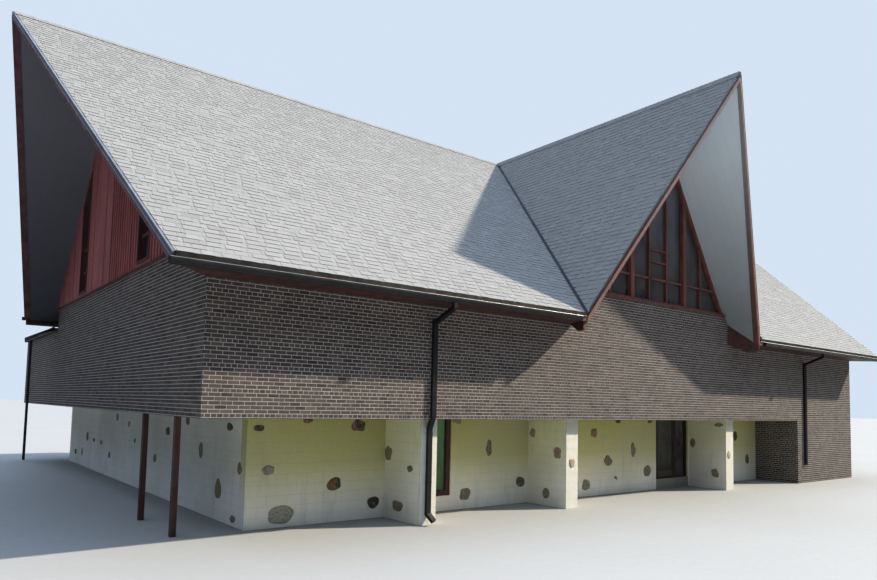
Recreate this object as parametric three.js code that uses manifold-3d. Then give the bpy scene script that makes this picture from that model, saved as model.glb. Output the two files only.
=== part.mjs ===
// Modern church building: a long brick hall under a prowed shingle roof, with a steep cross gable
// on both long sides, a recessed storey of painted block below and a low flat-roofed wing behind.
// Millimetres, +Z up. The origin lies on the lowest ground, under the crossing of the ridges.
// +X runs along the front towards the right end, and +Y runs from the front to the back.
import * as THREE from "three";
import * as BufferGeometryUtils from "three/addons/utils/BufferGeometryUtils.js";
import Module from "manifold-3d";

const wasm = await Module();
wasm.setup();

// Clearance left between pieces that touch
const GAP = 0.3;

// Brick hall: half its length, half its depth, wall thickness
const HALL_X = 12400;
const HALL_Y = 6550;
const WALL = 300;
const IN_X = HALL_X - WALL;
const IN_Y = HALL_Y - WALL;

// Heights of the brick skirt's edge, the floors and the brick wall's top at the ends
const SKIRT = 2130;
const FLOOR_LOW = 2430;
const FLOOR_TOP = 2730;
const GROUND_FLOOR = 250;
const END_BRICK_TOP = 5070;

// Roof: ridge height, main eave, and the prow's reach at the ends
const RIDGE = 10930;
const EAVE_Y = 7300;
const EAVE_Z = 4580;
const BACK_EAVE_Y = 6900;
const EAVE_X = 13150;
const PROW_X = 14680;
const MAIN_SLOPE = (RIDGE - EAVE_Z) / EAVE_Y;
const MAIN_DEPTH = 185;

// Cross gable: half its width at the main eave, its prow's reach and its roof's upright depth
const CROSS_X = 3950;
const CROSS_Y = 8870;
const CROSS_SLOPE = (RIDGE - EAVE_Z) / CROSS_X;
const CROSS_DEPTH = 215;
const CROSS_BACK_Y = CROSS_Y - (EAVE_Y - BACK_EAVE_Y);
const GABLE_SILL = 5290;

// Boards along the rakes and the eaves, the boards that end the eaves at the valleys, and the gutters
const RAKE = { thick: 40, drop: 15, depth: 200, crossDepth: 230 };
const EAVE = { fascia: 30, low: 4376, high: 4540, soffit: 4400, board: 20 };
const BACK_EAVE = { fascia: 30, low: 4580, high: 4888, soffit: 4600, board: 20 };
const EAVE_END = { thick: 100, hang: 186, level: 0.4 };
const GUTTER = { out: 100, high: 100, drop: 70, sheet: 5, end: 100, tip: 200 };

// Cap of bent shingles along the ridges: its reach down each slope, its upright depth and its middle
const CAP = { reach: 180, depth: 30, middle: 60, end: 40 };

// Storey below: recess of its walls, block thickness, the cross walls (fins) and the right mass
const LOW_LEFT = -11000;
const LOW_Y = 5090;
const BLOCK = 250;
const LOW_IN_Y = LOW_Y - BLOCK;
const RETURN_X = 8040;
const FIN_OUT = 6350;
const FIN_WIDTH = 420;
const FIN_LEFTS = [-7880, -3510, 3760];

// Posts under the left end of the skirt
const POST = { width: 100, at: [["front", -4950], ["middle", -2950]] };

// Low wing behind the left part of the hall
const WING = { right: -4800, back: 12810, top: 4430, roof: 90, eave: 100, lowRight: -6000, lowBack: 11350 };

// Downspouts: section, heights of the bends, the shoe, and the places along the walls
const SPOUT = {
  width: 100, deep: 75, neck: 4290, elbow: 4060, skirt: 2190, fin: 1930,
  shoe: { high: 230, low: 90, side: 50, out: 140 },
  left: [-7900, -7760, -7690], right: [8150, 8560], rightFoot: 640, wing: [11750, 11850], wingFoot: 40,
};

// Glazed entrance, its hinged leaf and the narrow window beside the first fin
const ENTRY = { left: 2000, right: 3720, low: 300, high: 2430, bar: 80, sill: 35, out: 5035, deep: 135 };
const LEAF = { width: 950, clear: 6, low: 343, high: 2338, deep: 45, stile: 100, rail: 220 };
const HINGE = { radius: 9, stand: 10, knuckle: 60, arm: 30, lap: 12, plate: 6, heights: [560, 1350, 2120] };
const SLIT = { left: -6950, right: -6050, low: 340, high: 2330, bar: 110, out: 5060, deep: 100 };

// Gable windows: bars of the cross gable, and the tall strips in the end gables
const GABLE_BARS = { edge: 110, thick: 160, thin: 70, thickAt: 1220, thinAt: [400, 2100], transom: 5970 };
const GABLE_OUT = 6500;
const GABLE_DEEP = 120;
const STRIP = { inner: 2450, outer: 3350, low: 5170, top: 150 };
const SIDING = { proud: 50, inner: 200 };
const PANE = 24;

const COLOURS = {
  brick: [0x4a4240, 0.9, 0],
  block: [0xd9d5c4, 0.85, 0],
  concrete: [0x8c8a84, 0.9, 0],
  shingle: [0xa9a7a2, 0.95, 0],
  siding: [0x6b3a38, 0.75, 0],
  trim: [0x5a2f2c, 0.6, 0],
  gutter: [0x23211f, 0.45, 0.4],
  membrane: [0x4d4d4c, 0.9, 0],
  glass: [0x20282a, 0.1, 0],
};

const church = new THREE.Group();

// A closed geometry as a solid for cutting and joining
function solid(geometry) {
  const bare = geometry.clone();
  bare.deleteAttribute("normal");
  bare.deleteAttribute("uv");
  const merged = BufferGeometryUtils.mergeVertices(bare, 0.001);
  const vertProperties = new Float32Array(merged.attributes.position.array);
  const triVerts = new Uint32Array(merged.index.array);
  return new wasm.Manifold(new wasm.Mesh({ numProp: 3, vertProperties, triVerts }));
}

// The solid's triangles as a geometry
function surface(body) {
  const mesh = body.getMesh();
  const geometry = new THREE.BufferGeometry();
  geometry.setAttribute("position", new THREE.BufferAttribute(new Float32Array(mesh.vertProperties), 3));
  geometry.setIndex(new THREE.BufferAttribute(new Uint32Array(mesh.triVerts), 1));
  geometry.computeVertexNormals();
  return geometry;
}

// A geometry with others cut out of it
function cut(geometry, ...cutters) {
  return surface(cutters.reduce((body, cutter) => body.subtract(solid(cutter)), solid(geometry)));
}

// Outline of [u, v] points, carried along the third axis of the basis from start
function prism(points, basis, start, depth) {
  const shape = new THREE.Shape(points.map(([u, v]) => new THREE.Vector2(u, v)));
  const geometry = new THREE.ExtrudeGeometry(shape, { depth, bevelEnabled: false });
  const [along, up, out] = basis.map((axis) => new THREE.Vector3(...axis));
  geometry.applyMatrix4(new THREE.Matrix4().makeBasis(along, up, out));
  const shift = out.multiplyScalar(start);
  geometry.translate(shift.x, shift.y, shift.z);
  return geometry;
}

// Plan outline of [x, y] points, standing from low to high
function plan(points, low, high) {
  return prism(points, [[1, 0, 0], [0, 1, 0], [0, 0, 1]], low, high - low);
}

// Front outline of [x, z] points, running from y0 back to y1
function alongY(points, y0, y1) {
  return prism(points, [[1, 0, 0], [0, 0, 1], [0, -1, 0]], -y1, y1 - y0);
}

// Side outline of [y, z] points, running from x0 to x1
function alongX(points, x0, x1) {
  return prism(points, [[0, 1, 0], [0, 0, 1], [1, 0, 0]], x0, x1 - x0);
}

function block(x0, x1, y0, y1, z0, z1) {
  const geometry = new THREE.BoxGeometry(x1 - x0, y1 - y0, z1 - z0);
  geometry.translate((x0 + x1) / 2, (y0 + y1) / 2, (z0 + z1) / 2);
  return geometry;
}

function mirrorX(points) {
  return points.map(([x, y]) => [-x, y]);
}

// Points in counter-clockwise order, as a shape's outline runs
function ccw(points) {
  const clockwise = THREE.ShapeUtils.isClockWise(points.map(([x, y]) => new THREE.Vector2(x, y)));
  return clockwise ? points.slice().reverse() : points;
}

function add(name, geometry, colour) {
  const [color, roughness, metalness] = COLOURS[colour];
  const mesh = new THREE.Mesh(geometry, new THREE.MeshStandardMaterial({ color, roughness, metalness }));
  mesh.name = name;
  church.add(mesh);
}

// Height of the main roof's underside at a distance from its ridge
const mainUnder = (y) => RIDGE - MAIN_DEPTH - MAIN_SLOPE * y;
// Height of the cross roof's underside at a distance from its ridge
const crossUnder = (x) => RIDGE - CROSS_DEPTH - CROSS_SLOPE * x;
// Distance of the valley from the cross ridge at a distance from the main ridge
const valley = (y) => (CROSS_X * y) / EAVE_Y;

// Floors, set between the walls
function floors() {
  const wingIn = WING.right - WALL;
  const upper = [
    [-IN_X + GAP, -IN_Y + GAP], [IN_X - GAP, -IN_Y + GAP], [IN_X - GAP, IN_Y - GAP],
    [wingIn - GAP, IN_Y - GAP], [wingIn - GAP, WING.back - WALL - GAP],
    [-IN_X + GAP, WING.back - WALL - GAP],
  ];
  add("upper_floor", plan(upper, FLOOR_LOW, FLOOR_TOP), "concrete");

  const left = LOW_LEFT + BLOCK + GAP;
  const right = IN_X - GAP;
  const mass = RETURN_X + WALL + GAP;
  const wingRight = WING.lowRight - BLOCK - GAP;
  const ground = [
    [left, -LOW_IN_Y + GAP], [mass, -LOW_IN_Y + GAP], [mass, -IN_Y + GAP], [right, -IN_Y + GAP],
    [right, IN_Y - GAP], [mass, IN_Y - GAP], [mass, LOW_IN_Y - GAP], [wingRight, LOW_IN_Y - GAP],
    [wingRight, WING.lowBack - BLOCK - GAP], [left, WING.lowBack - BLOCK - GAP],
  ];
  add("ground_slab", plan(ground, 0, GROUND_FLOOR), "concrete");
}

// Outline of a long brick wall, which rises under the cross gable and reaches the ground at the right
function longWallOutline(foot) {
  const top = mainUnder(HALL_Y) - GAP;
  const bend = valley(HALL_Y) + 4;
  const sill = (RIDGE - CROSS_DEPTH - GABLE_SILL) / CROSS_SLOPE - GAP;
  const side = crossUnder(bend) - 2 * GAP;
  return [
    ...foot, [RETURN_X, SKIRT], [RETURN_X, 0], [HALL_X, 0], [HALL_X, top], [bend, top], [bend, side],
    [sill, GABLE_SILL], [-sill, GABLE_SILL], [-bend, side], [-bend, top], [-HALL_X, top],
  ];
}

// Brick walls of the hall
function brickWalls() {
  const turn = block(RETURN_X, RETURN_X + WALL, -IN_Y - 1, -LOW_IN_Y, 0, FLOOR_LOW - GAP);
  const front = alongY(longWallOutline([[-HALL_X, SKIRT]]), -HALL_Y, -IN_Y);
  add("front_wall", surface(solid(front).add(solid(turn))), "brick");

  const wingIn = WING.right - WALL;
  const doorway = FLOOR_TOP + GAP;
  const foot = [[-HALL_X, SKIRT], [-IN_X, SKIRT], [-IN_X, doorway], [wingIn, doorway], [wingIn, SKIRT]];
  const back = alongY(longWallOutline(foot), IN_Y, HALL_Y);
  const backTurn = block(RETURN_X, RETURN_X + WALL, LOW_IN_Y, IN_Y + 1, 0, FLOOR_LOW - GAP);
  add("back_wall", surface(solid(back).add(solid(backTurn))), "brick");

  const end = IN_Y - GAP;
  add("left_wall", block(-HALL_X, -IN_X, -end, end, SKIRT, END_BRICK_TOP), "brick");
  add("right_wall", block(IN_X, HALL_X, -end, end, 0, END_BRICK_TOP), "brick");
}

// Outline of the tall strip window at one side of an end gable
function stripOutline(inset) {
  const inner = STRIP.inner + inset;
  const outer = STRIP.outer - inset;
  const low = STRIP.low + inset;
  const top = (y) => mainUnder(y) - STRIP.top - inset;
  return [[inner, low], [outer, low], [outer, top(outer)], [inner, top(inner)]];
}

// Siding walls in the end gables, on the brick, each with two tall strips of glass
function endGables() {
  const step = IN_Y - GAP;
  const edge = HALL_Y - 1;
  const shoulder = mainUnder(HALL_Y);
  const outline = [
    [-edge, shoulder], [-step, shoulder], [-step, END_BRICK_TOP + GAP], [step, END_BRICK_TOP + GAP],
    [step, shoulder], [edge, shoulder], [0, mainUnder(0) - GAP],
  ];
  const out = HALL_X + SIDING.proud;
  const inner = HALL_X - SIDING.inner;
  const middle = HALL_X - SIDING.inner / 2;
  for (const [end, side] of [["left", -1], ["right", 1]]) {
    const [x0, x1] = side < 0 ? [-out, -inner] : [inner, out];
    const outlines = [stripOutline(0), ccw(mirrorX(stripOutline(0)))];
    const holes = outlines.map((hole) => alongX(hole, x0 - 1, x1 + 1));
    add(`${end}_gable_wall`, cut(alongX(outline, x0, x1), ...holes), "siding");
    const back = stripOutline(GAP);
    for (const [place, pane] of [["back", back], ["front", ccw(mirrorX(back))]]) {
      add(`${end}_gable_glass_${place}`, alongX(pane, side * middle, side * middle + PANE), "glass");
    }
  }
}

// Triangle of the cross gable's opening, drawn in from its edges
function gableTriangle(inset) {
  const low = GABLE_SILL + GAP + inset;
  const slant = inset * Math.hypot(1, CROSS_SLOPE);
  const apex = RIDGE - CROSS_DEPTH - 2 * GAP - slant;
  const half = (apex - low) / CROSS_SLOPE;
  return [[-half, low], [half, low], [0, apex]];
}

// Frame and glass that fill the cross gable above the brick, at the front and at the back
function crossGables() {
  const bars = GABLE_BARS;
  const posts = [[bars.thickAt, bars.thick], [-bars.thickAt, bars.thick]];
  for (const at of bars.thinAt) {
    posts.push([at, bars.thin], [-at, bars.thin]);
  }
  for (const [place, side] of [["front", -1], ["back", 1]]) {
    const out = side * GABLE_OUT;
    const deep = out - side * GABLE_DEEP;
    const [y0, y1] = [Math.min(out, deep), Math.max(out, deep)];
    let panes = solid(alongY(gableTriangle(bars.edge), y0 - 1, y1 + 1));
    for (const [at, width] of posts) {
      panes = panes.subtract(solid(block(at - width / 2, at + width / 2, y0 - 2, y1 + 2, 0, RIDGE)));
    }
    const halfBar = bars.thin / 2;
    const rail = block(-CROSS_X, CROSS_X, y0 - 2, y1 + 2, bars.transom - halfBar, bars.transom + halfBar);
    panes = panes.subtract(solid(rail));
    const frame = solid(alongY(gableTriangle(0), y0, y1)).subtract(panes);
    add(`${place}_gable_frame`, surface(frame), "trim");
    const near = deep - side * GAP;
    const far = near - side * PANE;
    add(`${place}_gable_glass`, alongY(gableTriangle(1), Math.min(near, far), Math.max(near, far)), "glass");
  }
}

// One main slope: the side profile of the roof, cut to its plan outline
function mainSlope(side, end) {
  const { eave, low, bend } = eaveUnder(side);
  const profile = [[GAP, RIDGE], [eave, RIDGE - MAIN_SLOPE * eave], [eave, low]];
  if (bend < eave) {
    profile.push([bend, low]);
  }
  profile.push([GAP, mainUnder(0)]);
  const sided = ccw(profile.map(([y, z]) => [side * y, z]));
  const prow = PROW_X - ((PROW_X - EAVE_X) * eave) / EAVE_Y;
  const outline = [[GAP, 0], [PROW_X, 0], [prow, side * eave], [valley(eave) + 2 * GAP, side * eave]];
  const placed = ccw(outline.map(([x, y]) => [end * x, y]));
  const sheet = solid(alongX(sided, -PROW_X, PROW_X));
  return surface(sheet.intersect(solid(plan(placed, 0, RIDGE + 1))));
}

// One slope of a cross gable
function crossSlope(side, end) {
  const eave = side < 0 ? EAVE_Y : BACK_EAVE_Y;
  const prow = side < 0 ? CROSS_Y : CROSS_BACK_Y;
  const half = valley(eave);
  const foot = RIDGE - CROSS_SLOPE * half;
  const profile = [[GAP, RIDGE], [half, foot], [half, crossUnder(half)], [GAP, crossUnder(0)]];
  const sided = ccw(profile.map(([x, z]) => [end * x, z]));
  const outline = [[GAP, 0], [GAP, side * prow], [half, side * eave]];
  const placed = ccw(outline.map(([x, y]) => [end * x, y]));
  const sheet = solid(alongY(sided, -CROSS_Y, CROSS_Y));
  return surface(sheet.intersect(solid(plan(placed, 0, RIDGE + 1))));
}

function roof() {
  for (const [place, side] of [["front", -1], ["back", 1]]) {
    for (const [hand, end] of [["left", -1], ["right", 1]]) {
      add(`roof_${place}_${hand}`, mainSlope(side, end), "shingle");
      add(`cross_roof_${place}_${hand}`, crossSlope(side, end), "shingle");
    }
  }
}

// Board that follows a bent edge: a chevron band, cut to a strip along the edge's plan line
function rakeBoard(band, strip) {
  return surface(solid(band).intersect(solid(plan(ccw(strip), 0, RIDGE + 1))));
}

// Points of a chevron band between two heights at a ridge, falling at a slope to both sides
function chevron(slope, left, right, low, top) {
  return [
    [-left, low - slope * left], [0, low], [right, low - slope * right],
    [right, top - slope * right], [0, top], [-left, top - slope * left],
  ];
}

// Strip of a given width outside the plan line from a foot to the prow's tip and to the other foot
function edgeStrip(feet, tip) {
  const clear = GAP;
  const far = RAKE.thick;
  const line = (offset) => {
    const parts = feet.map(([x, y]) => {
      const run = new THREE.Vector2(tip[0] - x, tip[1] - y).normalize();
      const outward = new THREE.Vector2(run.y, -run.x);
      if (outward.dot(new THREE.Vector2(...tip)) < 0) {
        outward.negate();
      }
      const reach = offset / Math.abs(outward.dot(new THREE.Vector2(...tip).normalize()));
      return { foot: [x + outward.x * offset, y + outward.y * offset], reach };
    });
    const length = Math.hypot(...tip);
    const nose = tip.map((value) => value * (1 + parts[0].reach / length));
    return [parts[0].foot, nose, parts[1].foot];
  };
  return [...line(clear), ...line(far).reverse()];
}

function rakes() {
  const backX = PROW_X - ((PROW_X - EAVE_X) * BACK_EAVE_Y) / EAVE_Y;
  const top = RIDGE - RAKE.drop;
  const far = PROW_X + RAKE.depth;
  const band = alongX(chevron(MAIN_SLOPE, EAVE_Y, BACK_EAVE_Y, RIDGE - RAKE.depth, top), -far, far);
  const strip = edgeStrip([[-EAVE_X, -EAVE_Y], [-backX, BACK_EAVE_Y]], [-PROW_X, 0]);
  add("left_rake_fascia", rakeBoard(band, strip), "trim");
  add("right_rake_fascia", rakeBoard(band, mirrorX(strip)), "trim");

  const reach = CROSS_Y + RAKE.depth;
  const low = RIDGE - RAKE.crossDepth;
  const frontBand = alongY(chevron(CROSS_SLOPE, CROSS_X, CROSS_X, low, top), -reach, reach);
  const frontStrip = edgeStrip([[-CROSS_X, -EAVE_Y], [CROSS_X, -EAVE_Y]], [0, -CROSS_Y]);
  add("front_rake_fascia", rakeBoard(frontBand, frontStrip), "trim");
  const half = valley(BACK_EAVE_Y);
  const backBand = alongY(chevron(CROSS_SLOPE, half, half, low, top), -reach, reach);
  const backStrip = edgeStrip([[-half, BACK_EAVE_Y], [half, BACK_EAVE_Y]], [0, CROSS_BACK_Y]);
  add("back_rake_fascia", rakeBoard(backBand, backStrip), "trim");
}

// Cap along one ridge: a chevron band on the slopes, from the crossing out to both prows
function capArms(slope, extrude, tip, setBack, bend) {
  const half = CAP.reach / Math.hypot(1, slope);
  const seat = RIDGE + GAP * (1 + slope);
  const band = extrude(chevron(slope, half, half, seat, RIDGE + CAP.depth), -tip, tip);
  const start = bend * half + 2 * GAP;
  const end = tip - setBack * half;
  const arm = [[2 * GAP, 0], [start, -half], [end, -half], [tip, 0], [end, half], [start, half]];
  return { band: solid(band), arm };
}

// Shingle caps of both ridges as one cross, joined by a small block over the crossing
function ridgeCap() {
  const setBack = (PROW_X - EAVE_X) / EAVE_Y;
  const main = capArms(MAIN_SLOPE, alongX, PROW_X + CAP.end, setBack, CROSS_X / EAVE_Y);
  const crossBack = (CROSS_Y - EAVE_Y) / CROSS_X;
  const cross = capArms(CROSS_SLOPE, alongY, CROSS_Y + CAP.end, crossBack, EAVE_Y / CROSS_X);
  const high = RIDGE + 2 * CAP.depth;
  const cutTo = (band, outline) => band.intersect(solid(plan(ccw(outline), 0, high)));
  const shift = CROSS_Y - CROSS_BACK_Y;
  const backArm = cross.arm.map(([x, y], i) => (i > 1 && i < 5 ? [x - shift, y] : [x, y]));
  const middle = block(-CAP.middle, CAP.middle, -CAP.middle, CAP.middle, RIDGE + GAP, RIDGE + CAP.depth);
  const arms = [
    cutTo(main.band, main.arm), cutTo(main.band, mirrorX(main.arm)),
    cutTo(cross.band, cross.arm.map(([x, y]) => [y, -x])),
    cutTo(cross.band, backArm.map(([x, y]) => [y, x])),
  ];
  add("ridge_cap", surface(arms.reduce((body, arm) => body.add(arm), solid(middle))), "shingle");
}

// Underside of the main roof over an eave, where it is cut level above the front soffit
function eaveUnder(side) {
  const eave = side < 0 ? EAVE_Y : BACK_EAVE_Y;
  const soffit = side < 0 ? EAVE.soffit + EAVE.board + GAP : 0;
  const low = Math.max(mainUnder(eave), soffit);
  return { eave, low, bend: Math.min(eave, (mainUnder(0) - low) / MAIN_SLOPE) };
}

// Board that closes the end of an eave along the valley. Its lower edge falls from the soffit at the
// wall to the rake's foot, and the last part of it runs level there.
function eaveEnd(side, end, sizes) {
  const { eave, low, bend } = eaveUnder(side);
  const near = HALL_Y + GAP;
  const far = eave - GAP;
  const foot = sizes.low - EAVE_END.hang;
  const turn = far - EAVE_END.level * (far - near);
  const profile = [[near, sizes.soffit], [turn, foot], [far, foot], [far, low - GAP]];
  if (bend < far) {
    profile.push([bend, low - GAP]);
  }
  profile.push([near, mainUnder(near) - GAP]);
  const sided = ccw(profile.map(([y, z]) => [side * y, z]));
  const edge = (y, out) => [end * (valley(y) + out), side * y];
  const outer = 2 * GAP + EAVE_END.thick;
  const strip = [edge(near, 2 * GAP), edge(far, 2 * GAP), edge(far, outer), edge(near, outer)];
  return solid(alongX(sided, -PROW_X, PROW_X)).intersect(solid(plan(ccw(strip), 0, RIDGE)));
}

// Eaves between the end rakes and the cross gable: fascia and level soffit, and the gutter in front
function eaves() {
  const sides = [["front", -1, EAVE_Y, EAVE], ["back", 1, BACK_EAVE_Y, BACK_EAVE]];
  for (const [place, side, eaveY, sizes] of sides) {
    const outerX = PROW_X - ((PROW_X - EAVE_X) * eaveY) / EAVE_Y;
    const tipX = valley(eaveY) + 40;
    const face = eaveY + GAP;
    const profile = [
      [HALL_Y + GAP, sizes.soffit], [eaveY - GAP, sizes.soffit], [face, sizes.low],
      [face + sizes.fascia, sizes.low], [face + sizes.fascia, sizes.high], [face, sizes.high],
      [face, sizes.soffit + sizes.board], [HALL_Y + GAP, sizes.soffit + sizes.board],
    ];
    const sided = ccw(profile.map(([y, z]) => [side * y, z]));
    const gutterY = face + sizes.fascia + GAP;
    const gutterTop = sizes.high - GUTTER.drop;
    const gutterLow = gutterTop - GUTTER.high;
    for (const [hand, end] of [["left", -1], ["right", 1]]) {
      const inner = eaveY - 2 * GAP;
      const front = eaveY + 2 * sizes.fascia;
      const outline = [
        [valley(HALL_Y) + 2 * GAP, HALL_Y], [HALL_X, HALL_Y], [outerX, eaveY], [outerX, front],
        [tipX, front], [tipX, inner], [valley(inner) + 2 * GAP, inner],
      ];
      const placed = ccw(outline.map(([x, y]) => [end * x, side * y]));
      const sheet = solid(alongX(sided, -PROW_X, PROW_X)).intersect(solid(plan(placed, 0, RIDGE)));
      add(`eave_${place}_${hand}`, surface(sheet.add(eaveEnd(side, end, sizes))), "trim");

      const x0 = tipX + GUTTER.tip;
      const x1 = outerX + GUTTER.end;
      const ys = [side * gutterY, side * (gutterY + GUTTER.out)].sort((a, b) => a - b);
      const xs = [end * x0, end * x1].sort((a, b) => a - b);
      const box = (inset, low, high) => block(
        xs[0] + inset, xs[1] - inset, ys[0] + inset, ys[1] - inset, low, high,
      );
      const trough = box(GUTTER.sheet, gutterLow + GUTTER.sheet, gutterTop + 1);
      add(`gutter_${place}_${hand}`, cut(box(0, gutterLow, gutterTop), trough), "gutter");
    }
  }
}

// Square pipe of straight lengths through the points, each length running a little into the next
function pipe(points, width, deep) {
  let body = null;
  for (let i = 0; i + 1 < points.length; i += 1) {
    const a = new THREE.Vector3(...points[i]);
    const b = new THREE.Vector3(...points[i + 1]);
    const run = b.clone().sub(a);
    const length = run.length() + deep * (i === 0 || i + 2 === points.length ? 0.5 : 1);
    const geometry = new THREE.BoxGeometry(width, deep, length);
    const middle = a.clone().add(b).multiplyScalar(0.5);
    if (i === 0) {
      middle.addScaledVector(run.clone().normalize(), deep * 0.25);
    } else if (i + 2 === points.length) {
      middle.addScaledVector(run.clone().normalize(), -deep * 0.25);
    }
    const turn = new THREE.Quaternion().setFromUnitVectors(new THREE.Vector3(0, 0, 1), run.normalize());
    geometry.applyQuaternion(turn);
    geometry.translate(middle.x, middle.y, middle.z);
    body = body ? body.add(solid(geometry)) : solid(geometry);
  }
  return surface(body);
}

// Downspouts from the front gutters and from the wing's roof
function downspouts() {
  const { width, deep, neck, elbow, skirt, fin, shoe } = SPOUT;
  const onWall = -(HALL_Y + GAP + deep / 2);
  const onFin = -(FIN_OUT + GAP + deep / 2);
  const outlet = -(EAVE_Y + EAVE.fascia + GUTTER.out / 2);
  const top = EAVE.high - GUTTER.drop - GUTTER.high - GAP;
  const [fromLeft, downLeft, onFinLeft] = SPOUT.left;
  const left = [
    [fromLeft, outlet, top], [fromLeft, outlet, neck], [downLeft, onWall, elbow],
    [downLeft, onWall, skirt], [onFinLeft, onFin, fin], [onFinLeft, onFin, shoe.high],
    [onFinLeft + shoe.side, onFin - shoe.out, shoe.low],
  ];
  const wallSpace = block(-HALL_X, HALL_X, -HALL_Y - GAP, 0, SKIRT - GAP, RIDGE);
  const finSpace = block(-HALL_X, 0, -FIN_OUT - GAP, 0, 0, SKIRT);
  add("downspout_front_left", cut(pipe(left, width, deep), wallSpace, finSpace), "gutter");
  const [fromRight, downRight] = SPOUT.right;
  const right = [
    [fromRight, outlet, top], [fromRight, outlet, neck], [downRight, onWall, elbow],
    [downRight, onWall, SPOUT.rightFoot],
  ];
  add("downspout_front_right", cut(pipe(right, width, deep), wallSpace), "gutter");
  const beside = -(HALL_X + GAP);
  const [wingFrom, wingTo] = SPOUT.wing;
  add("downspout_wing", block(beside - deep, beside, wingFrom, wingTo, SPOUT.wingFoot, WING.top), "gutter");
}

// Low wing: a U of brick walls on the left and the back, under a flat roof
function wing() {
  const start = HALL_Y + GAP;
  const walls = [
    [-HALL_X, start], [-IN_X, start], [-IN_X, WING.back - WALL], [WING.right - WALL, WING.back - WALL],
    [WING.right - WALL, start], [WING.right, start], [WING.right, WING.back], [-HALL_X, WING.back],
  ];
  add("wing_wall", plan(walls, SKIRT, WING.top), "brick");
  const [left, right, back] = [-HALL_X - WING.eave, WING.right + WING.eave, WING.back + WING.eave];
  add("wing_roof", block(left, right, start, back, WING.top + GAP, WING.top + WING.roof), "membrane");
}

// Painted block walls of the storey below, with the fins that carry the front's overhang
function lowerWalls() {
  const top = FLOOR_LOW - GAP;
  const slit = block(SLIT.left, SLIT.right, -LOW_Y - 1, -LOW_IN_Y + 1, SLIT.low, SLIT.high);
  const left = block(LOW_LEFT, ENTRY.left, -LOW_Y, -LOW_IN_Y, 0, top);
  add("lower_front_wall_left", cut(left, slit), "block");
  add("lower_front_wall_right", block(ENTRY.right, RETURN_X - GAP, -LOW_Y, -LOW_IN_Y, 0, top), "block");
  const sill = [ENTRY.left + GAP, ENTRY.right - GAP];
  add("door_sill", block(...sill, -LOW_Y, -LOW_IN_Y, 0, ENTRY.low - GAP), "concrete");
  const backStart = WING.lowRight - BLOCK + GAP;
  add("lower_back_wall", block(backStart, RETURN_X - GAP, LOW_IN_Y, LOW_Y, 0, top), "block");

  const start = -LOW_IN_Y + GAP;
  const side = [
    [LOW_LEFT, start], [LOW_LEFT + BLOCK, start], [LOW_LEFT + BLOCK, WING.lowBack - BLOCK],
    [WING.lowRight - BLOCK, WING.lowBack - BLOCK], [WING.lowRight - BLOCK, LOW_Y + GAP],
    [WING.lowRight, LOW_Y + GAP], [WING.lowRight, WING.lowBack], [LOW_LEFT, WING.lowBack],
  ];
  add("lower_side_wall", plan(side, 0, top), "block");

  const seat = -IN_Y + GAP;
  const fin = [
    [-FIN_OUT, 0], [-LOW_Y - GAP, 0], [-LOW_Y - GAP, top], [seat, top], [seat, SKIRT - GAP],
    [-FIN_OUT, SKIRT - GAP],
  ];
  FIN_LEFTS.forEach((x, i) => {
    add(`front_fin_${i + 1}`, alongX(fin, x, x + FIN_WIDTH), "block");
  });

  const half = POST.width / 2;
  const postX = -HALL_X + WALL / 2;
  for (const [place, y] of POST.at) {
    add(`left_post_${place}`, block(postX - half, postX + half, y - half, y + half, 0, SKIRT - GAP), "trim");
  }
}

// Narrow window beside the first fin
function slitWindow() {
  const y0 = -SLIT.out;
  const y1 = y0 + SLIT.deep;
  const sheet = (inset, from, to) => {
    const [x0, x1, z0, z1] = [SLIT.left + inset, SLIT.right - inset, SLIT.low + inset, SLIT.high - inset];
    return block(x0, x1, from, to, z0, z1);
  };
  add("lower_window_frame", cut(sheet(GAP, y0, y1), sheet(SLIT.bar, y0 - 1, y1 + 1)), "trim");
  const middle = (y0 + y1) / 2;
  add("lower_window_glass", sheet(SLIT.bar + GAP, middle, middle + PANE), "glass");
}

// Half of a hinge: a knuckle on the axis with an arm and a plate that hold it to a frame or a leaf
function hingeHalf(axisX, axisY, z0, toward) {
  const { radius, stand, knuckle, arm, lap, plate } = HINGE;
  const pin = new THREE.CylinderGeometry(radius, radius, knuckle, 24);
  pin.rotateX(Math.PI / 2);
  pin.translate(axisX, axisY, z0 + knuckle / 2);
  const piece = (from, to, y0, y1) => {
    const [x0, x1] = [axisX + toward * from, axisX + toward * to].sort((p, q) => p - q);
    return solid(block(x0, x1, y0, y1, z0, z0 + knuckle));
  };
  const held = piece(0, arm, axisY, axisY + 0.8 * stand);
  const screwed = piece(lap, arm, axisY + stand / 3, axisY + stand + plate);
  return solid(pin).add(held).add(screwed);
}

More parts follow.
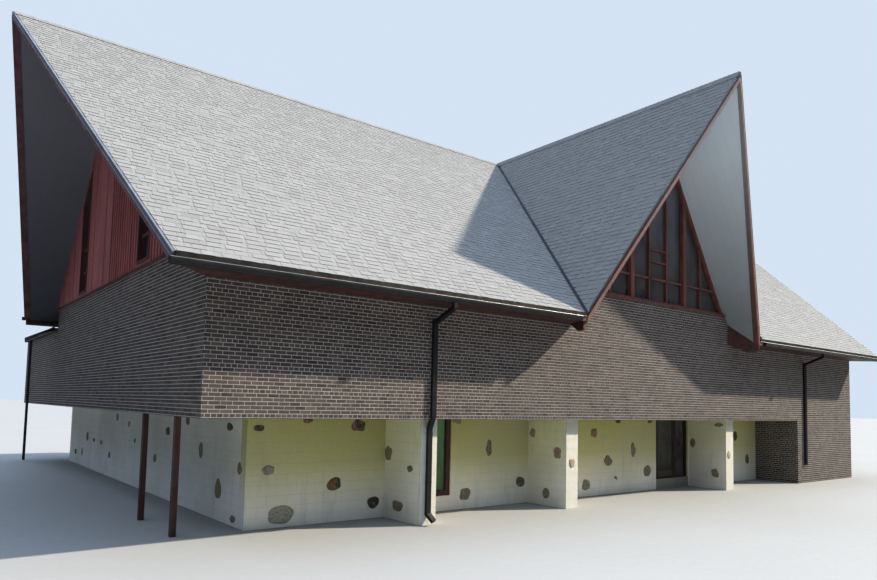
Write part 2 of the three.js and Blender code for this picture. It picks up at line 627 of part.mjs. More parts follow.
// Entrance: fixed frame with a glazed side panel, and a glazed leaf hung on its left jamb
function entrance() {
  const y0 = -ENTRY.out;
  const y1 = y0 + ENTRY.deep;
  const jamb = ENTRY.left + ENTRY.bar;
  const mullion = jamb + LEAF.width + 2 * LEAF.clear;
  const head = ENTRY.high - ENTRY.bar;
  const low = ENTRY.low + ENTRY.sill;
  const panel = ([x0, x1, z0, z1], from, to) => block(x0, x1, from, to, z0, z1);
  const through = (box) => panel(box, y0 - 1, y1 + 1);
  const side = [mullion + ENTRY.bar, ENTRY.right - ENTRY.bar, low, head];
  const outer = [ENTRY.left + GAP, ENTRY.right - GAP, ENTRY.low, ENTRY.high - GAP];
  let frame = solid(cut(panel(outer, y0, y1), through([jamb, mullion, low, head]), through(side)));

  const leafLeft = jamb + LEAF.clear;
  const leafRight = leafLeft + LEAF.width;
  const hole = [leafLeft + LEAF.stile, leafRight - LEAF.stile, LEAF.low + LEAF.rail, LEAF.high - LEAF.stile];
  const leafBox = [leafLeft, leafRight, LEAF.low, LEAF.high];
  let leaf = solid(cut(panel(leafBox, y0, y0 + LEAF.deep), through(hole)));

  const axisY = y0 - HINGE.stand;
  for (const z of HINGE.heights) {
    frame = frame.add(hingeHalf(jamb, axisY, z, -1));
    leaf = leaf.add(hingeHalf(jamb, axisY, z + HINGE.knuckle + GAP, 1));
  }
  add("door_frame", surface(frame), "trim");
  add("door_leaf", surface(leaf), "trim");

  const pane = ([x0, x1, z0, z1], from) => (
    panel([x0 + GAP, x1 - GAP, z0 + GAP, z1 - GAP], from, from + PANE)
  );
  add("door_glass", pane(hole, y0 + (LEAF.deep - PANE) / 2), "glass");
  add("sidelight_glass", pane(side, (y0 + y1 - PANE) / 2), "glass");
}

floors();
brickWalls();
endGables();
crossGables();
roof();
ridgeCap();
rakes();
eaves();
downspouts();
wing();
lowerWalls();
slitWindow();
entrance();

export default church;
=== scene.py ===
"""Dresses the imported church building: brickwork, shingles, edge metal, gutters, siding, glass and stones."""
import logging
import math
from dataclasses import dataclass, field
from enum import Enum
from typing import Sequence

import bpy
import numpy as np
from mathutils import Matrix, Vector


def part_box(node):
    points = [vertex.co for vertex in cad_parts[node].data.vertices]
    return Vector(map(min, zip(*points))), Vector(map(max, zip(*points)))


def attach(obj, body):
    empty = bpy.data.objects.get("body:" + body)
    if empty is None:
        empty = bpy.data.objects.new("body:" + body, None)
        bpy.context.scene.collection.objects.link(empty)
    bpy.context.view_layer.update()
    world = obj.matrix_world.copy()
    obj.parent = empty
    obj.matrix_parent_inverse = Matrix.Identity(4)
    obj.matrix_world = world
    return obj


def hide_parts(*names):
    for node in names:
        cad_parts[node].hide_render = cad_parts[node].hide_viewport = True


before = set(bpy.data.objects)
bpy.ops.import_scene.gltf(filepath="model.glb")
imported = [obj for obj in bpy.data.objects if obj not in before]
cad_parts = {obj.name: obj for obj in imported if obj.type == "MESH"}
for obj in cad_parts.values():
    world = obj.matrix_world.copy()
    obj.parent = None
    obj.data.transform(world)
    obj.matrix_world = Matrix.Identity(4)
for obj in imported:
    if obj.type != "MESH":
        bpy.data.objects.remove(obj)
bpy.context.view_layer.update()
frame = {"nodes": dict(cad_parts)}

log = logging.getLogger("church")

Vec = tuple[float, float, float]
Colour = tuple[float, float, float]
Pair = tuple[float, float]
Quad = tuple[float, float, float, float]
Floats = tuple[float, ...]

UP: Vec = (0.0, 0.0, 1.0)
PLAIN: Vec = (1.0, 1.0, 1.0)
SEED = 20
MID_TONE = 0.5
BLOCK_HIGH = 0.2032

# Corners of a block's six faces: four base corners, then the four top corners over them
BLOCK_FACES = np.array([[3, 2, 1, 0], [4, 5, 6, 7], [0, 1, 5, 4], [1, 2, 6, 5], [2, 3, 7, 6], [3, 0, 4, 7]])


class Body(Enum):
    """Bodies of the frame that a piece can ride on."""

    BUILDING = "building"
    DOOR = "door"


class Slot(Enum):
    """Names of material slots; no piece in this script is given one."""

    BRICK = "brick"
    BLOCK = "painted_block"
    SHINGLES = "shingles"
    SIDING = "siding"
    TRIM = "trim"
    METAL = "gutter_metal"


class Facing(Enum):
    """Ways that a wall faces, each with the direction that runs right along it as seen from outside."""

    FRONT = (1.0, 0.0, 0.0)
    BACK = (-1.0, 0.0, 0.0)
    LEFT = (0.0, -1.0, 0.0)
    RIGHT = (0.0, 1.0, 0.0)


class Pattern(Enum):
    """Sources of a shader pattern."""

    NOISE = "noise"
    TONE = "tone"
    LEVEL = "level"
    DEPTH = "depth"
    BANDS_X = "bands across x"
    BANDS_Y = "bands across y"
    BLOCK_JOINTS = "joints of blocks in running bond"


# Shader tools

# Width of block joints as a share of a block's height, and the softness of their edges
JOINT_SHARE = 0.022
JOINT_SOFT = 0.3

# Noise, and the wear that varies a surface's roughness
NOISE_ROUGH = 0.6
WEAR_SCALE = 6.0
WEAR_DETAIL = 5.0
WEAR_SPAN = (0.3, 0.7)


class Socket:
    """One value of a shader; arithmetic on it adds Math nodes to its tree."""

    def __init__(self, shader: "Shader", out: bpy.types.NodeSocket) -> None:
        """Keeps the shader and the output socket."""
        self.shader = shader
        self.out = out

    def _maths(self, operation: str, *values: "Socket | float") -> "Socket":
        """Adds a Math node of the operation with the values on its inputs."""
        return self.shader.value("ShaderNodeMath", dict(enumerate(values)), 0, {"operation": operation})

    def __add__(self, other: "Socket | float") -> "Socket":
        """Sum."""
        return self._maths("ADD", self, other)

    __radd__ = __add__

    def __sub__(self, other: "Socket | float") -> "Socket":
        """Difference."""
        return self._maths("SUBTRACT", self, other)

    def __rsub__(self, other: "Socket | float") -> "Socket":
        """Difference with this value taken away."""
        return self._maths("SUBTRACT", other, self)

    def __mul__(self, other: "Socket | float") -> "Socket":
        """Product."""
        return self._maths("MULTIPLY", self, other)

    __rmul__ = __mul__

    def clamped(self) -> "Socket":
        """Value held between 0 and 1."""
        return self.shader.value("ShaderNodeClamp", {0: self})

    def between(self, low: float, high: float) -> "Socket":
        """Straight rise from 0 at the low value to 1 at the high value."""
        return ((self - low) * (1.0 / (high - low))).clamped()

    def sawtooth(self, period: float) -> "Socket":
        """Distance from the nearest multiple of the period, in periods: 0 on it and 0.5 midway."""
        return self._maths("PINGPONG", self * (1.0 / period), 0.5)


class Shader:
    """Node tree of a material or of the sky, with one method that makes every node."""

    def __init__(self, tree: bpy.types.NodeTree) -> None:
        """Empties the tree."""
        self.tree = tree
        self.tree.nodes.clear()

    def node(self, kind: str, settings: dict, inputs: dict) -> bpy.types.Node:
        """Makes a node.

        Args:
            kind: type name of the node.
            settings: properties, which are set before the sockets.
            inputs: values or Socket links by socket name or number.

        Returns:
            The new node.
        """
        node = self.tree.nodes.new(kind)
        for key, value in settings.items():
            setattr(node, key, value)
        for key, value in inputs.items():
            if isinstance(value, Socket):
                self.tree.links.new(value.out, node.inputs[key])
            else:
                node.inputs[key].default_value = value
        return node

    def value(self, kind: str, inputs: dict, output: str | int = 0, settings: dict | None = None) -> Socket:
        """Makes a node and gives one of its outputs."""
        return Socket(self, self.node(kind, settings or {}, inputs).outputs[output])

    def axis(self, index: int, source: str = "Object") -> Socket:
        """One coordinate of a source: 0 for x, 1 for y, 2 for z."""
        return self.value("ShaderNodeSeparateXYZ", {0: self.value("ShaderNodeTexCoord", {}, source)}, index)

    def pattern(self, kind: Pattern, scale: float, stretch: Vec = PLAIN, detail: float = 3.0) -> Socket:
        """Value of a pattern at the shaded point.

        Args:
            kind: source of the pattern.
            scale: cells in a metre, or the period in metres for bands.
            stretch: further scale along each axis.
            detail: octaves of the noise.

        Returns:
            The pattern's value, mostly from 0 to 1.
        """
        if kind is Pattern.TONE:
            return self.value("ShaderNodeAttribute", {}, "Fac", {"attribute_name": "tone"})
        if kind is Pattern.LEVEL:
            return self.axis(2)
        if kind is Pattern.DEPTH:
            return self.axis(1)
        if kind in (Pattern.BANDS_X, Pattern.BANDS_Y):
            return self.axis(0 if kind is Pattern.BANDS_X else 1).sawtooth(scale) * 2.0
        if kind is Pattern.BLOCK_JOINTS:
            flat = self.value("ShaderNodeCombineXYZ", {0: self.axis(0) + self.axis(1), 1: self.axis(2)})
            sizes = {"Scale": 1.0, "Mortar Size": JOINT_SHARE * scale, "Mortar Smooth": JOINT_SOFT,
                     "Brick Width": 2.0 * scale, "Row Height": scale}
            return self.value("ShaderNodeTexBrick", {"Vector": flat, **sizes}, "Fac")
        source = self.value("ShaderNodeTexCoord", {}, "Object")
        place = self.value("ShaderNodeMapping", {"Vector": source, "Scale": stretch})
        inputs = {"Vector": place, "Scale": scale, "Detail": detail, "Roughness": NOISE_ROUGH}
        return self.value("ShaderNodeTexNoise", inputs, "Fac")

    def blend(self, share: Socket, first: Socket | tuple, second: Socket | tuple) -> Socket:
        """Colour between two colours by a share."""
        return self.value("ShaderNodeMix", {0: share, 6: first, 7: second}, 2, {"data_type": "RGBA"})


@dataclass(frozen=True)
class Tint:
    """A colour laid over a finish where a pattern lies between two values."""

    colour: Colour
    pattern: Pattern = Pattern.NOISE
    span: Pair = (0.45, 0.65)
    scale: float = 1.0
    stretch: Vec = PLAIN
    amount: float = 1.0


@dataclass(frozen=True)
class Relief:
    """A relief from a pattern, with its depth in metres."""

    depth: float
    scale: float
    stretch: Vec = PLAIN
    pattern: Pattern = Pattern.NOISE
    span: Pair = (0.3, 0.7)


@dataclass(frozen=True)
class Finish:
    """A surface finish: base colour with tints over it, roughness, relief and gloss."""

    name: str
    colour: Colour
    tints: tuple[Tint, ...] = ()
    reliefs: tuple[Relief, ...] = ()
    rough: Pair = (0.75, 0.95)
    metallic: float = 0.0
    alpha: float = 1.0
    gloss: float = 0.5

    def material(self) -> bpy.types.Material:
        """Builds the finish's material, or gives the one that was built before."""
        name = f"finish_{self.name}"
        known = bpy.data.materials.get(name)
        if known:
            return known
        material = bpy.data.materials.new(name)
        material.use_nodes = True
        shader = Shader(material.node_tree)
        colour: Socket | tuple = (*self.colour, 1.0)
        for tint in self.tints:
            share = shader.pattern(tint.pattern, tint.scale, tint.stretch).between(*tint.span) * tint.amount
            colour = shader.blend(share, colour, (*tint.colour, 1.0))
        wear = shader.pattern(Pattern.NOISE, WEAR_SCALE, detail=WEAR_DETAIL).between(*WEAR_SPAN)
        low, high = self.rough
        inputs = {"Base Color": colour, "Roughness": wear * (high - low) + low, "Metallic": self.metallic,
                  "Alpha": self.alpha, "Specular IOR Level": self.gloss}
        if self.reliefs:
            inputs["Normal"] = self._bump(shader)
        surface = shader.value("ShaderNodeBsdfPrincipled", inputs)
        shader.node("ShaderNodeOutputMaterial", {}, {"Surface": surface})
        return material

    def _bump(self, shader: Shader) -> Socket:
        """Normal from the sum of the reliefs, each at its own depth."""
        height: Socket | float = 0.0
        for relief in self.reliefs:
            part = shader.pattern(relief.pattern, relief.scale, relief.stretch)
            height = part.between(*relief.span) * relief.depth + height
        return shader.value("ShaderNodeBump", {"Distance": 1.0, "Height": height})


# Finishes of the building

BRICK = Finish(
    "brick_faces", (0.098, 0.08, 0.072),
    tints=(
        Tint((0.055, 0.046, 0.043), Pattern.TONE, (0.38, 0.05)),
        Tint((0.155, 0.12, 0.104), Pattern.TONE, (0.55, 0.95)),
        Tint((0.15, 0.132, 0.117), scale=90.0, span=(0.5, 0.75), amount=0.45),
        Tint((0.032, 0.028, 0.028), scale=22.0, span=(0.55, 0.8), amount=0.6),
    ),
    reliefs=(Relief(0.0015, 160.0), Relief(0.002, 30.0)),
)
MORTAR = Finish(
    "mortar", (0.5, 0.475, 0.45),
    tints=(
        Tint((0.38, 0.36, 0.34), scale=2.5, span=(0.45, 0.7)),
        Tint((0.6, 0.575, 0.55), scale=70.0, span=(0.5, 0.75), amount=0.6),
    ),
    reliefs=(Relief(0.0012, 180.0),),
)
SHINGLE = Finish(
    "roof_shingles", (0.277, 0.275, 0.273),
    tints=(
        Tint((0.245, 0.242, 0.24), Pattern.TONE, (0.42, 0.05)),
        Tint((0.3, 0.297, 0.295), Pattern.TONE, (0.6, 0.95)),
        Tint((0.262, 0.26, 0.257), scale=0.5, span=(0.45, 0.7), amount=0.4),
        Tint((0.16, 0.16, 0.164), scale=240.0, span=(0.5, 0.72), amount=0.5),
        Tint((0.52, 0.52, 0.52), scale=310.0, span=(0.55, 0.75), amount=0.45),
    ),
    reliefs=(Relief(0.0012, 260.0),),
    rough=(0.9, 1.0), gloss=0.2,
)
FLASHING = Finish(
    "valley_metal", (0.03, 0.034, 0.044),
    tints=(
        Tint((0.06, 0.066, 0.08), scale=3.0, span=(0.45, 0.7), amount=0.7),
        Tint((0.05, 0.035, 0.028), scale=14.0, span=(0.55, 0.75), amount=0.5),
    ),
    reliefs=(Relief(0.0008, 40.0),),
    rough=(0.4, 0.7), metallic=0.3,
)
EDGE_METAL = Finish(
    "edge_metal", (0.16, 0.163, 0.188),
    tints=(
        Tint((0.105, 0.1, 0.118), scale=1.6, span=(0.42, 0.68), amount=0.7),
        Tint((0.225, 0.228, 0.25), scale=9.0, stretch=(1.0, 1.0, 0.2), span=(0.52, 0.75), amount=0.6),
    ),
    reliefs=(Relief(0.0015, 5.0),),
    rough=(0.35, 0.6), metallic=0.2,
)
CROSS_METAL = Finish(
    "cross_edge_metal", (0.09, 0.052, 0.047),
    tints=(
        Tint((0.032, 0.022, 0.021), scale=1.8, span=(0.42, 0.68), amount=0.8),
        Tint((0.12, 0.085, 0.078), scale=12.0, span=(0.54, 0.75), amount=0.6),
        # Painted haze: paler grey towards the apex
        Tint((0.16, 0.15, 0.16), Pattern.LEVEL, (6.5, 9.5), amount=0.7),
    ),
    reliefs=(Relief(0.0012, 6.0),),
    rough=(0.4, 0.65), metallic=0.1,
)
# Painted highlight: the bead is far paler than the gutter's dark metal, for the light on its rolled edge
BEAD_HIGHLIGHT_METAL = Finish(
    "gutter_bead_highlight", (0.25, 0.246, 0.244),
    tints=(Tint((0.11, 0.1, 0.095), scale=4.0, span=(0.42, 0.68), amount=0.8),),
    rough=(0.35, 0.6), metallic=0.2,
)
GUTTER = Finish(
    "gutter_metal", (0.019, 0.019, 0.021),
    tints=(
        Tint((0.034, 0.035, 0.038), scale=2.2, span=(0.45, 0.7), amount=0.8),
        Tint((0.02, 0.015, 0.013), scale=26.0, stretch=(1.0, 1.0, 0.25), span=(0.5, 0.7), amount=0.7),
    ),
    reliefs=(Relief(0.0008, 12.0),),
    rough=(0.3, 0.55), metallic=0.2,
)
SIDING = Finish(
    "gable_siding", (0.36, 0.125, 0.12),
    tints=(
        Tint((0.25, 0.088, 0.084), scale=3.0, stretch=(1.0, 1.0, 0.15), span=(0.42, 0.68)),
        Tint((0.44, 0.18, 0.17), scale=14.0, stretch=(1.0, 1.0, 0.08), span=(0.52, 0.72), amount=0.6),
    ),
    reliefs=(Relief(0.0016, 70.0, (1.0, 1.0, 0.06)), Relief(0.001, 15.0, (1.0, 1.0, 0.3))),
    rough=(0.6, 0.85),
)


def trim_finish(name: str, grain: Vec, light: float = 1.0) -> Finish:
    """Brown painted board with its grain drawn out along one axis.

    Args:
        name: name of the material.
        grain: stretch of the grain, small along the board.
        light: factor on the colours.

    Returns:
        The finish.
    """
    shades = ((0.105, 0.042, 0.036), (0.06, 0.026, 0.024), (0.16, 0.08, 0.066), (0.13, 0.085, 0.075))
    base, dark, worn, faded = (tuple(light * part for part in shade) for shade in shades)
    return Finish(
        name, base,
        tints=(
            Tint(dark, scale=7.0, stretch=grain, span=(0.42, 0.66)),
            Tint(worn, scale=30.0, stretch=grain, span=(0.54, 0.75), amount=0.6),
            Tint(faded, scale=1.2, span=(0.5, 0.75), amount=0.4),
        ),
        reliefs=(Relief(0.0012, 60.0, grain),),
        rough=(0.45, 0.75),
    )


TRIM_X = trim_finish("trim_boards_x", (0.08, 1.0, 1.0))
TRIM_Y = trim_finish("trim_boards_y", (1.0, 0.08, 1.0))
TRIM_Z = trim_finish("trim_boards_z", (1.0, 1.0, 0.08))
WINDOW_TRIM = trim_finish("window_boards", (1.0, 1.0, 0.08), 2.0)
ENTRANCE_TRIM = trim_finish("entrance_frame", (1.0, 1.0, 0.08), 0.5)
DOOR_TRIM = Finish(
    "dark_door", (0.034, 0.028, 0.024),
    tints=(
        Tint((0.05, 0.034, 0.028), scale=3.0, span=(0.45, 0.68)),
        Tint((0.02, 0.017, 0.015), scale=24.0, stretch=(1.0, 1.0, 0.1), span=(0.52, 0.72), amount=0.6),
    ),
    reliefs=(Relief(0.0006, 50.0, (1.0, 1.0, 0.1)),),
    rough=(0.35, 0.55),
)
# Weathered brown boards greyed to purple by painted sky reflection, for the shaded end rakes
RAKE_BOARD = Finish(
    "weathered_rake_boards_painted_sky", (0.17, 0.095, 0.105),
    tints=(
        Tint((0.1, 0.055, 0.062), scale=3.0, span=(0.42, 0.66)),
        Tint((0.24, 0.16, 0.165), scale=28.0, stretch=(1.0, 0.1, 0.1), span=(0.54, 0.75), amount=0.6),
    ),
    reliefs=(Relief(0.0012, 50.0, (1.0, 0.1, 0.1)),),
    rough=(0.5, 0.8),
)
FADED_HAZED_TRIM = Finish(
    "faded_boards_painted_haze", (0.5, 0.26, 0.21),
    tints=(
        Tint((0.3, 0.15, 0.125), scale=2.5, span=(0.45, 0.68), amount=0.7),
        Tint((0.55, 0.42, 0.37), scale=25.0, span=(0.52, 0.72), amount=0.6),
        # Painted haze: greyer towards the apex
        Tint((0.42, 0.35, 0.33), Pattern.LEVEL, (5.5, 9.0), amount=0.8),
    ),
    reliefs=(Relief(0.0015, 60.0, (0.3, 1.0, 0.3)),),
    rough=(0.6, 0.85),
)


def soffit_finish(name: str, colour: Colour, high: Colour, joints: Pattern) -> Finish:
    """Soffit of painted boards with fine joints, with painted light that grows towards the ridge.

    Args:
        name: name of the material.
        colour: base colour.
        high: colour near the ridge, which paints the light there.
        joints: bands in which the joints run.

    Returns:
        The finish.
    """
    dark, light = (tuple(share * part for part in colour) for share in (0.6, 1.2))
    board, near, far = 0.3, 0.012, 0.03
    return Finish(
        name, colour,
        tints=(
            Tint(light, scale=1.4, span=(0.45, 0.7), amount=0.5),
            Tint(dark, scale=18.0, span=(0.55, 0.75), amount=0.25),
            # Painted light: paler towards the ridge
            Tint(high, Pattern.LEVEL, (5.0, 9.2), amount=0.95),
            Tint(dark, joints, (far, near), scale=board, amount=0.22),
        ),
        reliefs=(Relief(0.0008, board, pattern=joints, span=(near, far)), Relief(0.001, 50.0)),
        rough=(0.6, 0.85),
    )


def block_finish(name: str, colour: Colour, high: Colour, front: float | None) -> Finish:
    """Painted block with painted bounce light: whiter at its foot and olive under the floor.

    Args:
        name: name of the material.
        colour: base colour.
        high: colour under the floor, which paints green bounce light.
        front: Y of a front face made whiter than the sides by painted sunlight, if there is one.

    Returns:
        The finish.
    """
    painted_sunlit_front = ()
    if front is not None:
        # Painted sunlight: the front face is whiter than the shaded sides
        painted_sunlit_front = (Tint((0.6, 0.59, 0.54), Pattern.DEPTH, (front + 0.02, front + 0.002), amount=0.9),)
    return Finish(
        name, colour,
        tints=(
            # Painted bounce light: olive under the floor, and whiter towards the foot
            Tint(high, Pattern.LEVEL, (0.5, 2.05), amount=0.95),
            Tint((0.95, 0.93, 0.88), Pattern.LEVEL, (1.2, 0.3), amount=0.9),
            Tint((0.55, 0.55, 0.43), scale=0.35, span=(0.42, 0.68), amount=0.4),
            Tint((0.42, 0.41, 0.33), scale=5.0, stretch=(1.0, 1.0, 0.15), span=(0.55, 0.8), amount=0.27),
            Tint((0.78, 0.76, 0.66), scale=24.0, span=(0.5, 0.72), amount=0.12),
            *painted_sunlit_front,
            Tint((0.35, 0.35, 0.29), Pattern.BLOCK_JOINTS, (0.2, 0.9), scale=BLOCK_HIGH, amount=0.22),
        ),
        reliefs=(Relief(0.0025, 45.0), Relief(0.004, 6.0),
                 Relief(0.0015, BLOCK_HIGH, pattern=Pattern.BLOCK_JOINTS, span=(0.9, 0.2))),
        rough=(0.75, 0.92),
    )


# The cross soffit is a lighter, bluer copy of the main soffit, for painted sky light and glare
MAIN_SOFFIT = soffit_finish("main_soffit", (0.105, 0.11, 0.122), (0.22, 0.23, 0.25), Pattern.BANDS_X)
CROSS_SOFFIT = soffit_finish("cross_soffit", (0.3, 0.335, 0.345), (0.82, 0.9, 0.95), Pattern.BANDS_Y)
# The yellowish bases and the highs of these block finishes paint green bounce light
PAINTED_BLOCK = block_finish("painted_block", (0.83, 0.81, 0.5), (0.48, 0.485, 0.17), None)
PAINTED_SIDE = block_finish("painted_side_wall", (0.93, 0.91, 0.84), (0.86, 0.85, 0.74), None)
PAINTED_FIN = block_finish("painted_fins", (0.92, 0.91, 0.78), (0.88, 0.89, 0.6), -6.35)
CONCRETE = Finish(
    "concrete", (0.36, 0.34, 0.3),
    tints=(
        Tint((0.27, 0.255, 0.23), scale=1.5, span=(0.42, 0.68)),
        Tint((0.44, 0.42, 0.385), scale=60.0, span=(0.52, 0.72), amount=0.6),
    ),
    reliefs=(Relief(0.0012, 90.0), Relief(0.003, 5.0)),
)
MEMBRANE = Finish(
    "roof_membrane", (0.075, 0.075, 0.076),
    tints=(
        Tint((0.12, 0.118, 0.112), scale=0.7, span=(0.42, 0.68)),
        Tint((0.05, 0.05, 0.05), Pattern.BANDS_Y, (0.03, 0.012), scale=1.0),
        Tint((0.16, 0.155, 0.145), scale=180.0, span=(0.52, 0.7), amount=0.6),
    ),
    reliefs=(Relief(0.001, 200.0), Relief(0.003, 1.0, pattern=Pattern.BANDS_Y, span=(0.012, 0.03))),
)
GLASS = Finish(
    "window_glass", (0.105, 0.102, 0.107),
    tints=(
        Tint((0.18, 0.158, 0.158), scale=0.8, span=(0.4, 0.7), amount=0.6),
        Tint((0.04, 0.046, 0.042), scale=1.7, stretch=(1.0, 1.0, 0.4), span=(0.5, 0.62), amount=0.7),
        # Painted sky reflection: paler and bluer towards the top
        Tint((0.2, 0.203, 0.24), Pattern.LEVEL, (6.2, 9.0), amount=0.75),
    ),
    reliefs=(Relief(0.0025, 0.9),),
    rough=(0.03, 0.09), alpha=0.88,
)
# Green glass with upright darker streaks
GREEN_GLASS = Finish(
    "green_streaked_glass", (0.06, 0.13, 0.04),
    tints=(
        Tint((0.1, 0.24, 0.06), scale=3.5, stretch=(1.0, 1.0, 0.12), span=(0.42, 0.6)),
        Tint((0.02, 0.035, 0.02), scale=7.0, stretch=(1.0, 1.0, 0.1), span=(0.55, 0.7), amount=0.8),
    ),
    rough=(0.05, 0.12),
)
HANDLE = Finish(
    "door_pull", (0.16, 0.14, 0.115),
    tints=(Tint((0.09, 0.075, 0.06), scale=30.0, span=(0.45, 0.7), amount=0.6),),
    rough=(0.25, 0.45), metallic=0.9,
)
CROSS_BORDER = Finish(
    "cross_border_boards", (0.17, 0.085, 0.08),
    tints=(
        Tint((0.11, 0.058, 0.056), scale=3.0, span=(0.42, 0.66)),
        Tint((0.24, 0.15, 0.14), scale=26.0, span=(0.54, 0.75), amount=0.6),
        # Painted haze: greyer and bluer towards the apex
        Tint((0.36, 0.38, 0.41), Pattern.LEVEL, (5.8, 9.0), amount=0.75),
    ),
    reliefs=(Relief(0.0012, 50.0),),
    rough=(0.5, 0.8),
)
STONE = Finish(
    "set_stones", (0.29, 0.265, 0.18),
    tints=(
        Tint((0.095, 0.088, 0.06), Pattern.TONE, (0.38, 0.08)),
        Tint((0.46, 0.45, 0.37), Pattern.TONE, (0.58, 0.9)),
        Tint((0.4, 0.22, 0.12), scale=2.1, span=(0.52, 0.6), amount=0.6),
        Tint((0.5, 0.49, 0.4), scale=16.0, span=(0.52, 0.68), amount=0.5),
        Tint((0.08, 0.072, 0.05), scale=26.0, span=(0.52, 0.66), amount=0.5),
        Tint((0.06, 0.055, 0.045), scale=110.0, span=(0.55, 0.7), amount=0.35),
    ),
    reliefs=(Relief(0.003, 40.0), Relief(0.012, 11.0)),
)
FLOOR = Finish(
    "studio_floor", (0.32, 0.32, 0.32),
    tints=(Tint((0.31, 0.31, 0.31), scale=0.2, span=(0.3, 0.7)),),
)


# Shape tools

@dataclass
class Shell:
    """Closed surfaces: points, four-cornered faces with a tone each, and end caps of any outline."""

    points: np.ndarray
    faces: np.ndarray
    tone: np.ndarray
    caps: list[np.ndarray] = field(default_factory=list)


@dataclass(frozen=True)
class Plane:
    """A flat place for shapes: an origin, a direction along it and a direction up it."""

    origin: Vec
    along: Vec
    up: Vec = UP

    def place(self, flat: np.ndarray, height: np.ndarray | float) -> np.ndarray:
        """Points on the plane: origin + u along + v up + height along their cross product.

        Args:
            flat: u and v values in the last axis.
            height: distances out of the plane, one for all or one for each point.

        Returns:
            Points in the last axis.
        """
        along, up = np.array(self.along), np.array(self.up)
        out = np.cross(along, up)
        rise = np.broadcast_to(np.asarray(height, dtype=float), flat.shape[:-1])
        return np.array(self.origin) + flat[..., :1] * along + flat[..., 1:] * up + rise[..., None] * out


def wall(facing: Facing, at: float) -> Plane:
    """Plane of a wall that faces one way, at its place along that axis."""
    return Plane((0.0, at, 0.0) if facing in (Facing.FRONT, Facing.BACK) else (at, 0.0, 0.0), facing.value)


@dataclass(frozen=True)
class Outline:
    """Left and right edges of a panel, straight between a few heights."""

    heights: Floats
    lefts: Floats
    rights: Floats

    def held(self, flat: np.ndarray) -> np.ndarray:
        """Points with u held between the left and the right edge at their v."""
        across, up = flat[..., 0], flat[..., 1]
        left = np.interp(up, self.heights, self.lefts)
        right = np.interp(up, self.heights, self.rights)
        return np.stack([np.minimum(np.maximum(across, left), np.maximum(left, right)), up], axis=-1)


def band(left: float, right: float) -> Outline:
    """Outline with upright edges, over any height of the building."""
    return Outline((0.0, 2.0 * HALL.ridge), (left, left), (right, right))


def rect(x0: float, z0: float, x1: float, z1: float) -> list[Pair]:
    """Corners of a rectangle between its lowest and its highest corner."""
    return [(x0, z0), (x1, z0), (x1, z1), (x0, z1)]


def circle(count: int) -> np.ndarray:
    """Points of a circle of radius 1."""
    angle = np.linspace(0.0, 2 * math.pi, count + 1)[:-1]
    return np.column_stack([np.cos(angle), np.sin(angle)])


def blocks(base: np.ndarray, top: np.ndarray, tone: np.ndarray | float = MID_TONE) -> Shell:
    """Six-sided blocks between base and top corners; one that is inside out has its corners reversed.

    Args:
        base: four corners of each base, as an (n, 4, 3) array.
        top: the corners over them.
        tone: tone of each block.

    Returns:
        The blocks as one shell.
    """
    corners = np.concatenate([base, top], axis=1)
    sides = [corners[:, i] - corners[:, 0] for i in (1, 3, 4)]
    wrong = np.einsum("ij,ij->i", np.cross(sides[0], sides[1]), sides[2]) < 0
    corners[wrong] = corners[wrong][:, [0, 3, 2, 1, 4, 7, 6, 5]]
    count = len(corners)
    faces = BLOCK_FACES[None] + 8 * np.arange(count)[:, None, None]
    tones = np.repeat(np.broadcast_to(np.asarray(tone, dtype=float), (count,)), len(BLOCK_FACES))
    return Shell(corners.reshape(-1, 3), faces.reshape(-1, 4), tones)


def beams(starts: Sequence, ends: Sequence, wide: Vec, deep: Vec) -> Shell:
    """Straight bars: a rectangle of half sizes wide and deep about each start, carried to its end."""
    wide, deep = np.array(wide), np.array(deep)
    ring = np.stack([-wide - deep, wide - deep, wide + deep, deep - wide])
    return blocks(*(np.array(points, float)[:, None] + ring for points in (starts, ends)))


def box(low: Vec, high: Vec) -> Shell:
    """Upright box between two corners."""
    ring = rect(*low[:2], *high[:2])
    return blocks(*(np.array([[(*corner, level) for corner in ring]], float) for level in (low[2], high[2])))


def raised(
    plane: Plane, corners: np.ndarray, low: float, high: np.ndarray | float, inset: float = 0.0,
    tone: np.ndarray | float = MID_TONE,
) -> Shell:
    """Blocks that stand on a plane; their top corners are drawn in towards the middle.

    Args:
        plane: plane that carries them.
        corners: base corners on the plane, as an (n, 4, 2) array.
        low: height of the bases.
        high: height of the tops, for all, for each block or for each corner.
        inset: how far the top corners are drawn in along u and v.
        tone: tone of each block.

    Returns:
        The blocks as one shell.
    """
    middle = corners.mean(axis=1, keepdims=True)
    top = corners + np.clip(middle - corners, -inset, inset)
    return blocks(plane.place(corners, low), plane.place(top, high), tone)


